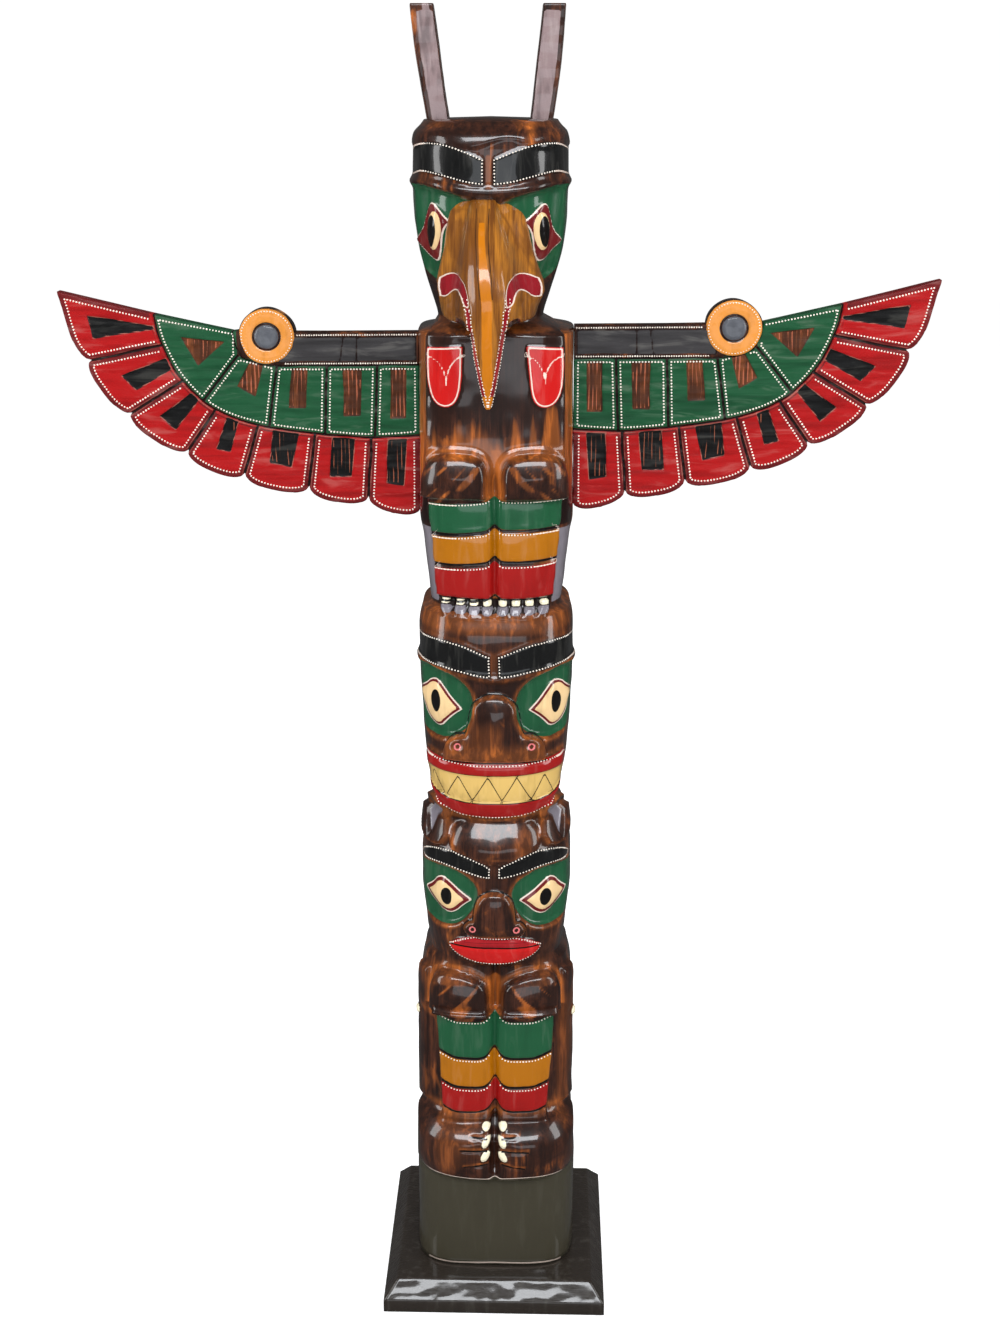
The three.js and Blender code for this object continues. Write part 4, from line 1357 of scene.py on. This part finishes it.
def onWing(points, frameOf, side):
    # wing drawing coordinates to space, with the face's own height
    x, z = np.asarray(points, float).T
    armLine = straight(wingShape["arm"], np.arange(141) / 20)
    inArm = inside(x, z, np.vstack([[(80, 1160)], armLine, [(294, 1165)]])) > 0
    inShort = inside(x, z, np.vstack([[(80, 1200)], [(80, 1029.5)], shortEdge(), [(382, 1200)]])) > 0
    tier = np.where(inArm, 0, np.where(inShort, 1, 2))
    rise, _ = wingPaint(x, z, tier, np.full(len(x), 0.5))
    y = -(np.array(wingShape["face"])[tier] + np.maximum(rise, -1.0) + wingRipple(x, z, side))
    return wingPlace(x, y, z, frameOf, side)


def wingDots(side, frameOf, name):
    w, r = wingShape, wingShape["roundel"]
    hub = r["right"] if side > 0 else r["left"]
    paths = []
    for i in range(w["feathers"]):
        outline, inner = longFeather(i, 60)
        ringLine = inset(outline, w["dotInset"])
        keep = ringLine[nearLine(*ringLine.T, inner, 12) >= w["dotInset"] + 0.6]
        # starts the open line at its widest gap
        start = np.argmax(np.hypot(*np.diff(np.vstack([keep, keep[:1]]), axis=0).T)) + 1
        paths.append(alongPath(np.roll(keep, -start, 0), dots["pitch"], False))
    along = shortEdge()
    lows = shortLows(along)
    for k in range(len(lows)):
        paths.append(alongPath(inset(shortFeather(k, along, lows), w["shortDotInset"]), dots["pitch"]))

    def beads(beadName, line, clear, *size):
        line = line[np.hypot(line[:, 0] - hub, line[:, 1] - r["z"]) > r["radius"] + clear]
        centres = onWing(line, frameOf, side)
        domes(beadName, centres, np.tile([0, -1.0, 0], (len(centres), 1)), "wing_boards", *size)

    beads(name, np.vstack(paths), 2.5)
    for height, kind in ((1146.0, "upper"), (1114.0, "lower")):
        beads(name + "_" + kind, np.stack([np.arange(89, 236, 2.7), np.full(55, height)], 1), 2, 1.05)


def buildRoundel(side, frameOf):
    r = wingShape["roundel"]
    fine = []
    for (a, b), (c, d) in zip(r["profile"][:-1], r["profile"][1:]):
        count = max(1, int(math.hypot(c - a, d - b) / 1.6))
        fine += [(a + (c - a) * k / count, b + (d - b) * k / count) for k in range(count)]
    fine = np.array(fine[1:])
    around = r["around"]
    angle = np.linspace(0, 2 * np.pi, around, endpoint=False)
    rr = fine[:, 0][:, None] * np.ones(around)
    # the boss is cut to eight flats
    facet = np.cos(np.pi / 8) / np.cos((angle + 0.2) % (np.pi / 4) - np.pi / 8)
    rr = np.where((rr > 8) & (rr < 14.2), rr * (0.35 + 0.65 * facet[None] * 1.04), rr)
    hand = 1 + 0.012 * np.sin(3 * angle + side) + 0.008 * np.sin(5 * angle)
    x, z = rr * np.cos(angle) * hand, rr * np.sin(angle) * hand
    y = -np.repeat(fine[:, 1][:, None], around, 1)
    hub = np.array([[r["right"] if side > 0 else r["left"]], [0.0], [r["z"]]])
    centre = wingPlace(*hub, frameOf, side)[0]
    points = np.stack([side * x + centre[0], y, z + centre[2]], -1).reshape(-1, 3)
    points[:, 1] += 0.3 * lattice(points, 6, 51) * (points[:, 1] < -11)
    points = np.vstack([points, centre + [0, 5.0, 0], centre + [0, -15.0, 0]])
    quads, tri = ringQuads(len(fine), around), np.array(endFans(len(fine), around))
    if side > 0:
        quads, tri = quads[:, ::-1], tri[:, ::-1]
    rad = np.concatenate([np.hypot(x, z).ravel(), [0, 0]])
    # painted shade in the groove round the boss and over the roundel's side and back
    fields = {"amber": np.where(rad > 0, rad - 15.6, -9.0), "pewter": 13.4 - rad,
              "soot": np.maximum(1.1 - np.abs(rad - 15.0), rad - 30.9)}
    piece = makeMesh("roundel_right" if side > 0 else "roundel_left", points, quads, fields, tri)
    turns = 2 * np.pi * np.arange(r["dots"]) / r["dots"]
    ring = r["dotRadius"] * np.stack([np.cos(turns), turns * 0, np.sin(turns)], 1)
    facing = np.tile([0, -1.0, 0], (r["dots"], 1))
    domes("dots_" + piece.name, centre + [0, -13.0, 0] + ring, facing, "wing_boards", 0.95)
    return piece


wingCoats = [("green", "wingGreen"), ("red", "wingRed"), ("crimson", "crimson"), ("black", "black"),
             ("trim", "trim"), ("coal", "coal"), ("scarLine", "scar"), ("soot", "soot")]
wingMaterial = lacquered("wing_finish", wingCoats, marks=(9, 9, 170), depth=0.0009, warmField="warm",
                         roughness=0.45, coat=0.03, sheen=0.14, brushed=(0.16, 1, 5.5), streak=0.5)
roundelCoats = [("amber", "roundel"), ("pewter", "pewter"), ("soot", "soot")]
roundelMaterial = lacquered("roundel_finish", roundelCoats, marks=(14, 14, 120), depth=0.0005,
                            roughness=0.34, coat=0.4)
for side, nodeName in ((-1, "wing_left"), (1, "wing_right")):
    wingPiece, frameOf = buildWing(side, nodeName)
    place(wingPiece, wingMaterial, "wing_boards", nodeName)
    place(buildRoundel(side, frameOf), roundelMaterial, "wing_boards")
    wingDots(side, frameOf, nodeName.replace("wing", "dots"))
print("wings made")

# the beak

beakShape = {
    "seat": -66.0,          # where the block meets the face
    "cheekEnd": 1168.0,
    "mouthEnd": 1190.0,
    "ridge": 6.0,
    "shift": -6.0,
    "topShift": -6.5,
    "pitch": 1.7,
    # height and half width of the arch
    "half": [(1168, 48), (1200, 57), (1210, 57), (1226, 53), (1243, 49), (1262, 46), (1275, 43), (1284, 40),
             (1290, 36), (1294, 31), (1297, 21)],
    "mouth": [(19.5, 1190), (20.5, 1206), (24, 1217), (32, 1222), (42, 1220.5), (53, 1214.5),
              (53, 1214.5), (55.5, 1206), (54, 1195), (54, 1195), (46, 1196.5), (40, 1202.5),
              (34, 1206), (29, 1203.5), (25.5, 1192)],
    "lip": [(17.8, 1164), (19.5, 1180), (22.6, 1197)],
}


def beakProfile(z, top, tip):
    # half of the cut through the beak at one height, from the ridge back to the face
    b = beakShape
    swell = math.sin(min(1.0, max(0.0, (top - z) / (top - b["mouthEnd"]))) * math.pi / 2)
    hook = min(1.0, max(0.0, (b["cheekEnd"] - z) / (b["cheekEnd"] - tip)))
    share = float(ease((b["cheekEnd"] + 5 - z) / 10))
    if z > b["mouthEnd"]:
        front = -92 - 66 * swell ** 0.8
    else:
        front = -158 + 40 * ((b["mouthEnd"] - z) / (b["mouthEnd"] - tip)) ** 1.7
    back = b["seat"] * (1 - share) + (-104 - 10 * math.sin(math.pi * hook)) * share
    wideHook = 3 + 17 * (1 - hook) ** 0.8
    arch = float(np.interp(z, *np.array(b["half"]).T))
    wide = arch * (1 - share) + wideHook * share
    mid = min(arch * 0.86, 14 + 20 * swell) * (1 - share) + wideHook * share
    flat = min(b["ridge"], wide * 0.6)
    deep = back - front
    points = [(0, front), (flat, front), (flat + (mid - flat) * 0.5, front + deep * 0.08),
              (flat + (mid - flat) * 0.85, front + deep * 0.25), (mid, front + deep * 0.5),
              (wide, front + deep * 0.78), (wide * (1 - 0.2 * share), back), (0, back)]
    return points, wide


def buildBeak():
    b = beakShape
    low, high = (np.array(v) * 1000 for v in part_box("beak"))
    tip, top = low[2], high[2]
    middle = np.arange(tip + 1.6, top - 1.2, b["pitch"])
    heights = np.concatenate([[tip, tip + 0.6], middle, [top - 1.0, top]])
    rings, widths = [], []
    for height in heights:
        profile, width = beakProfile(height, top, tip)
        p = np.array(profile)
        edge = np.vstack([p[:2], rounded(p[2:7], 2, False)])
        run = np.concatenate([[0], np.cumsum(np.hypot(*np.diff(edge, axis=0).T))])
        flat = p[1, 0]
        at = np.concatenate([np.linspace(0, flat, 5), np.linspace(flat, run[-1], 54)[1:]])
        side = np.stack([np.interp(at, run, edge[:, 0]), np.interp(at, run, edge[:, 1])], 1)
        behind = np.stack([np.linspace(p[6, 0], 0, 6)[1:], np.full(5, p[6, 1])], 1)
        half = np.vstack([side, behind]) * [1.0 if height < top - 0.5 else 0.94, 1]
        rings.append(np.vstack([half, (half[1:-1] * [-1, 1])[::-1]]))
        widths.append(width)
    grid = np.array(rings)
    rows, count = grid.shape[:2]
    x, y = grid[..., 0], grid[..., 1]
    xf, yf, zf, wf = x.ravel(), y.ravel(), heights.repeat(count), np.repeat(widths, count)
    a = np.abs(xf) + 0.4 * lattice(np.stack([xf, yf * 0, zf], 1), 14, 61)

    # painted mouth and the line down each side of the hook
    mouth = inside(a, zf, rounded(b["mouth"], 1))
    lip = np.where(zf < 1215, 2.1 - nearLine(a, zf, b["lip"]), -9)
    hookBand = np.where((zf < 1166) & (zf >= 1092), 1.9 - np.abs(a - (wf - 2.3)), -9)
    red = np.where(yf > -70, -9, np.maximum(np.maximum(mouth, lip), hookBand))
    ridge = np.where((zf < 1276) & (zf > 1072), 3.4 + 2.0 * ease((1262 - zf) / 60) - a, -9)
    # painted shade: a near-black oval in a shallow dent, the shadowed gap under each cheek beside the hook
    gap = oval(a, zf, (29, 1171), (6.5, 5.5))
    cheekDark = ease((a - 40) / 12) * ease((1196 - zf) / 14)
    fields = {
        "red": red, "bright": ridge, "ink": gap, "edgeLine": mouth,
        "edgeWide": np.where((mouth > -3) & (yf < -64) & (zf > 1180), 0.55, -1.0),
        "grooveLine": a - 6.9 + 1.2 * ease((1230 - zf) / 60),
        "grooveWide": np.where((zf < 1290) & (zf > 1200), 0.42, -1.0),
        "warm": cheekDark,
    }
    fields = {key: np.concatenate([v, [v[0], v[-1]]]) for key, v in fields.items()}

    push = -1.5 * ease(red / 2 + 0.5) - 4.0 * ease(gap / 4 + 0.4)
    push += -0.8 * np.exp(-((a - 7.2) / 1.2) ** 2) * (zf > 1100)
    push += 0.5 * lattice(np.stack([xf, yf, zf * 0.35], 1), 9, 62)
    nx = np.where(yf > b["seat"] - 2, 0, xf / (np.abs(x).max(1).repeat(count) + 1e-6))
    ny = -np.sqrt(np.clip(1 - nx * nx, 0.2, 1))
    px = xf + nx * push * (np.abs(xf) > 1)
    py = yf + np.where(yf < b["seat"] - 1, ny * push, 0)
    # the cheeks aren't a pair: the left one is narrower at the top
    slide = b["shift"] + b["topShift"] * ease((zf - 1180) / 90)
    rising = 0.05 * ease((zf - 1180) / 20)
    left, right = 1 - rising - 0.08 * ease((zf - 1215) / 36), 1 + 1.1 * rising
    points = np.stack([px * np.where(px < 0, left, right) + slide, py, zf], 1)
    ends = [[slide[0], y[0].mean(), tip], [slide[-1], y[-1].mean(), top]]
    piece = makeMesh("hooked_beak", np.vstack([points, ends]), ringQuads(rows, count), fields,
                     endFans(rows, count))
    surface = points.reshape(rows, count, 3)
    beakDots(surface, heights, slide.reshape(rows, count)[:, 0], tip, top)
    return piece


def beakDots(surface, heights, middle, tip, top):
    # two lines of beads along each painted side of the hook
    count = surface.shape[1]
    spots, normals = [], []
    for offset in (-2.6, 2.2):
        for sign in (1, -1):
            path = []
            for z in np.arange(tip + 2, 1166, 3):
                width = beakProfile(z, top, tip)[1]
                path.append((max(0.6, width - 2.3 + offset * (0.9 if offset < 0 else 0.85)), z))
            path += [(17.8 + offset, 1166), (19.5 + offset, 1180), (22.6 + offset, 1197)]
            for reach, z in alongPath(path, 2.9, False):
                row = int(np.clip(np.searchsorted(heights, z), 1, len(heights) - 2))
                half = surface[row, sign * np.arange(60) % count]
                away = np.abs(np.abs(half[:, 0] - middle[row]) - reach) + 0.02 * (half[:, 1] + 160)
                spots.append(half[int(np.argmin(away))])
                n = np.array([sign * min(0.8, reach / 30), -0.8, 0])
                normals.append(n / np.linalg.norm(n))
    domes("dots_beak", spots, normals, "beak_wood", 0.95)


beakCoats = [("bright", "bright"), ("grooveLine", "umber"), ("ink", "ink"), ("red", "maroon"),
             ("edgeLine", "line")]
beakTones = (rgb(104, 58, 18), rgb(180, 114, 34), rgb(96, 74, 48))
beakMaterial = lacquered("beak_finish", beakCoats, marks=(160, 20, 10), depth=0.0003, warmField="warm",
                         base=beakTones, roughness=0.3, coat=0.8, along=(1, 0.06, 1))
place(buildBeak(), beakMaterial, "beak_wood", "beak")
print("beak made")

# horns and plinth

hornShape = {
    "width": 26.0, "thick": 12.0, "depth": -12.0, "foot": 1362.0, "top": 1500.0, "rows": 64, "around": 48,
    "square": 0.22,
    "left": (-60.0, -8.2),      # where the slat stands and how many degrees it leans out
    "right": (47.0, 6.4),
}


def buildHorn(name, x0, lean, seed):
    h = hornShape
    rows, around = h["rows"], h["around"]
    slope = math.tan(math.radians(lean))
    angle = np.linspace(0, 2 * np.pi, around, endpoint=False) + 0.02
    c, s = np.cos(angle), np.sin(angle)
    points, face = [], []
    for i, height in enumerate(np.linspace(h["foot"], h["top"] - 0.2, rows)):
        shrink = 1.0 if 0 < i < rows - 1 else 0.95
        wide = h["width"] / 2 * shrink + 0.5 * math.sin(height / 23 + seed)
        thick = h["thick"] / 2 * shrink + 0.25 * math.sin(height / 17 + seed)
        px = wide * np.sign(c) * np.abs(c) ** h["square"]
        py = thick * np.sign(s) * np.abs(s) ** h["square"]
        bow = 1.2 * math.sin((height - h["foot"]) / (h["top"] - h["foot"]) * math.pi) * np.sign(lean)
        along = x0 + (height - h["foot"]) * slope + bow
        points.append(np.stack([px + along, py + h["depth"], px * 0 + height], 1))
        # the face takes a grey-pink painted reflection, with a dark strip along its outer edge
        outer = px * np.sign(x0)
        shown = np.minimum(wide - 5.5 - outer, outer + wide - 2.2)
        face.append(np.where(py < -thick * 0.4, shown, -3.0) - 3.0 * (i < 1) - 3.0 * (i > rows - 5))
    p = np.array(points)
    rough = 0.35 * lattice(p.reshape(-1, 3), 9, seed + 90)
    flat = (p + rough.reshape(rows, around)[..., None] * [0.3, 1, 0]).reshape(-1, 3)
    flat = np.vstack([flat, [flat[:around].mean(0)], [flat[-around:].mean(0)]])
    fields = {"pale": np.concatenate([np.array(face).ravel(), [-9, -9]])}
    return makeMesh(name, flat, ringQuads(rows, around), fields, endFans(rows, around))


hornMaterial = lacquered("horn_finish", [("pale", "paintedHornSheen")], marks=(90, 90, 14), coat=0.7)
for nodeName, key, seed in (("horn_left", "left", 1), ("horn_right", "right", 2)):
    x0, lean = hornShape[key]
    place(buildHorn("ear_slat_" + key, x0, lean, seed), hornMaterial, "horn_slats", nodeName)

plinthShape = {"side": 258.5, "top": 227.0, "edge": 17.0, "height": 35.2, "chamferSteps": 9, "across": 56}


def buildPlinth():
    p = plinthShape
    half, inner, steps, across = p["side"] / 2, p["top"] / 2, p["chamferSteps"], p["across"]
    profile = [(half - 1.2, 0.0), (half, 1.2), (half, 6), (half, 11), (half, p["edge"] - 1.2)]
    profile.append((half - 1.0, p["edge"]))
    for k in range(1, steps):
        t = k / steps
        profile.append((half - 1 + (inner - half + 1) * t, p["edge"] + (p["height"] - p["edge"]) * t))
    profile += [(inner, p["height"] - 0.4), (inner - 1.5, p["height"])]
    profile += [(inner - 1.5 - k, p["height"]) for k in (5, 12, 20, 30, 45, 62, 80, 96)]
    t = np.arange(across) / across
    corners = [(-1, -1), (1, -1), (1, 1), (-1, 1)]
    square = np.vstack([np.stack([ax + (bx - ax) * t, ay + (by - ay) * t], 1)
                        for (ax, ay), (bx, by) in zip(corners, corners[1:] + corners[:1])])
    flat = np.vstack([np.column_stack([square * size, np.full(len(square), z)]) for size, z in profile])
    rows, around = len(profile), len(square)
    # shallow hammer dents on the chamfer
    chamfer = np.zeros((rows, 1))
    chamfer[6:6 + steps - 1] = 1
    dent = (lattice(flat, 8.5, 71) * 0.3 + 0.2 * lattice(flat, 15, 72)).reshape(rows, around) * chamfer
    outward = flat[:, :2] / (np.linalg.norm(flat[:, :2], axis=1)[:, None] + 1e-6)
    flat = flat + np.column_stack([outward * 0.6, np.full(len(flat), 0.8)]) * dent.reshape(-1, 1)
    flat[:, 2] = np.clip(flat[:, 2], 0, p["height"])
    points = np.vstack([flat, [[0, 0, 0], [0, 0, p["height"]]]])
    fields = {"black": np.full(len(points), 5.0)}
    return makeMesh("plinth_board", points, ringQuads(rows, around), fields, endFans(rows, around))


plinthMaterial = lacquered("plinth_finish", [("black", "plinth")], marks=(70, 150, 150), depth=0.0016,
                           roughness=0.36, coat=1.0, streak=0.3)
place(buildPlinth(), plinthMaterial, "plinth_wood", "plinth")
print("horns and plinth made")

# camera, light and floor

view = {"distance": 2.0715, "height": 1.4533, "aside": 1.5, "tilt": 12.0, "lens": 50.69, "shiftX": 0.0026,
        "shiftY": -0.165}
cameraData = bpy.data.cameras.new("camera")
camera = bpy.data.objects.new("camera", cameraData)
bpy.context.scene.collection.objects.link(camera)
turn = math.radians(view["aside"])
camera.location = (view["distance"] * math.sin(turn), -view["distance"] * math.cos(turn), view["height"])
camera.rotation_euler = (math.radians(90 - view["tilt"]), 0, turn)
cameraData.lens = view["lens"]
cameraData.sensor_width = 36
cameraData.shift_x = view["shiftX"]
cameraData.shift_y = view["shiftY"]
bpy.context.scene.camera = camera


def softLight(name, place3, aim, width, height, power, colour=(1, 1, 1)):
    data = bpy.data.lights.new(name, "AREA")
    data.shape = "RECTANGLE"
    data.size, data.size_y = width, height
    data.energy = power
    data.color = colour
    lamp = bpy.data.objects.new(name, data)
    bpy.context.scene.collection.objects.link(lamp)
    lamp.location = place3
    lamp.rotation_euler = (Vector(aim) - Vector(place3)).to_track_quat("-Z", "Y").to_euler()
    return lamp


softLight("overhead", (0.1, -2.7, 3.0), (0, 0, 0.7), 3.0, 0.9, 96, (0.93, 0.96, 1))
softLight("front_wall", (0.25, -5.0, 0.75), (0, 0, 0.9), 3.4, 1.3, 24, (0.9, 0.95, 1))
softLight("side_left", (-2.3, -1.0, 1.5), (0, 0, 0.9), 0.6, 2.0, 22)
softLight("side_right", (2.3, -1.0, 1.5), (0, 0, 0.9), 0.6, 2.0, 22)
softLight("back_fill", (0.0, 2.6, 2.2), (0, 0, 0.8), 2.2, 1.2, 30).visible_glossy = False

world = bpy.data.worlds.new("studio")
world.use_nodes = True
worldTree = world.node_tree
worldTree.nodes["Background"].inputs["Color"].default_value = (1, 1, 1, 1)
rays = worldTree.nodes.new("ShaderNodeLightPath").outputs
strength = mathNode(worldTree, "MULTIPLY_ADD", rays["Is Camera Ray"], 0.52, 0.5)
strength = mathNode(worldTree, "MULTIPLY_ADD", rays["Is Glossy Ray"], -0.42, strength)
link(worldTree, strength, worldTree.nodes["Background"].inputs["Strength"])
bpy.context.scene.world = world
bpy.context.scene.view_settings.view_transform = "Standard"

floorMesh = bpy.data.meshes.new("floor")
floorCorners = [(x * 9, y * 9, -0.0005) for x, y in ((-1, -1), (1, -1), (1, 1), (-1, 1))]
floorMesh.from_pydata(floorCorners, [], [(0, 1, 2, 3)])
floor = bpy.data.objects.new("floor", floorMesh)
bpy.context.scene.collection.objects.link(floor)
floorMaterial = bpy.data.materials.new("floor_paint")
floorMaterial.use_nodes = True
floorTree = floorMaterial.node_tree
floorShader = floorTree.nodes["Principled BSDF"]
floorShader.inputs["Roughness"].default_value = 0.9
floorShader.inputs["Specular IOR Level"].default_value = 0.0
floorShader.inputs["Emission Color"].default_value = (1, 1, 1, 1)
floorRays = floorTree.nodes.new("ShaderNodeLightPath").outputs
floorTone = mixColour(floorTree, floorRays["Is Glossy Ray"], (0.8, 0.8, 0.8, 1), (0.07, 0.07, 0.07, 1))
link(floorTree, floorTone, floorShader.inputs["Base Color"])
floorGlow = mathNode(floorTree, "MULTIPLY", floorRays["Is Camera Ray"], 0.61)
link(floorTree, floorGlow, floorShader.inputs["Emission Strength"])
floorMesh.materials.append(floorMaterial)
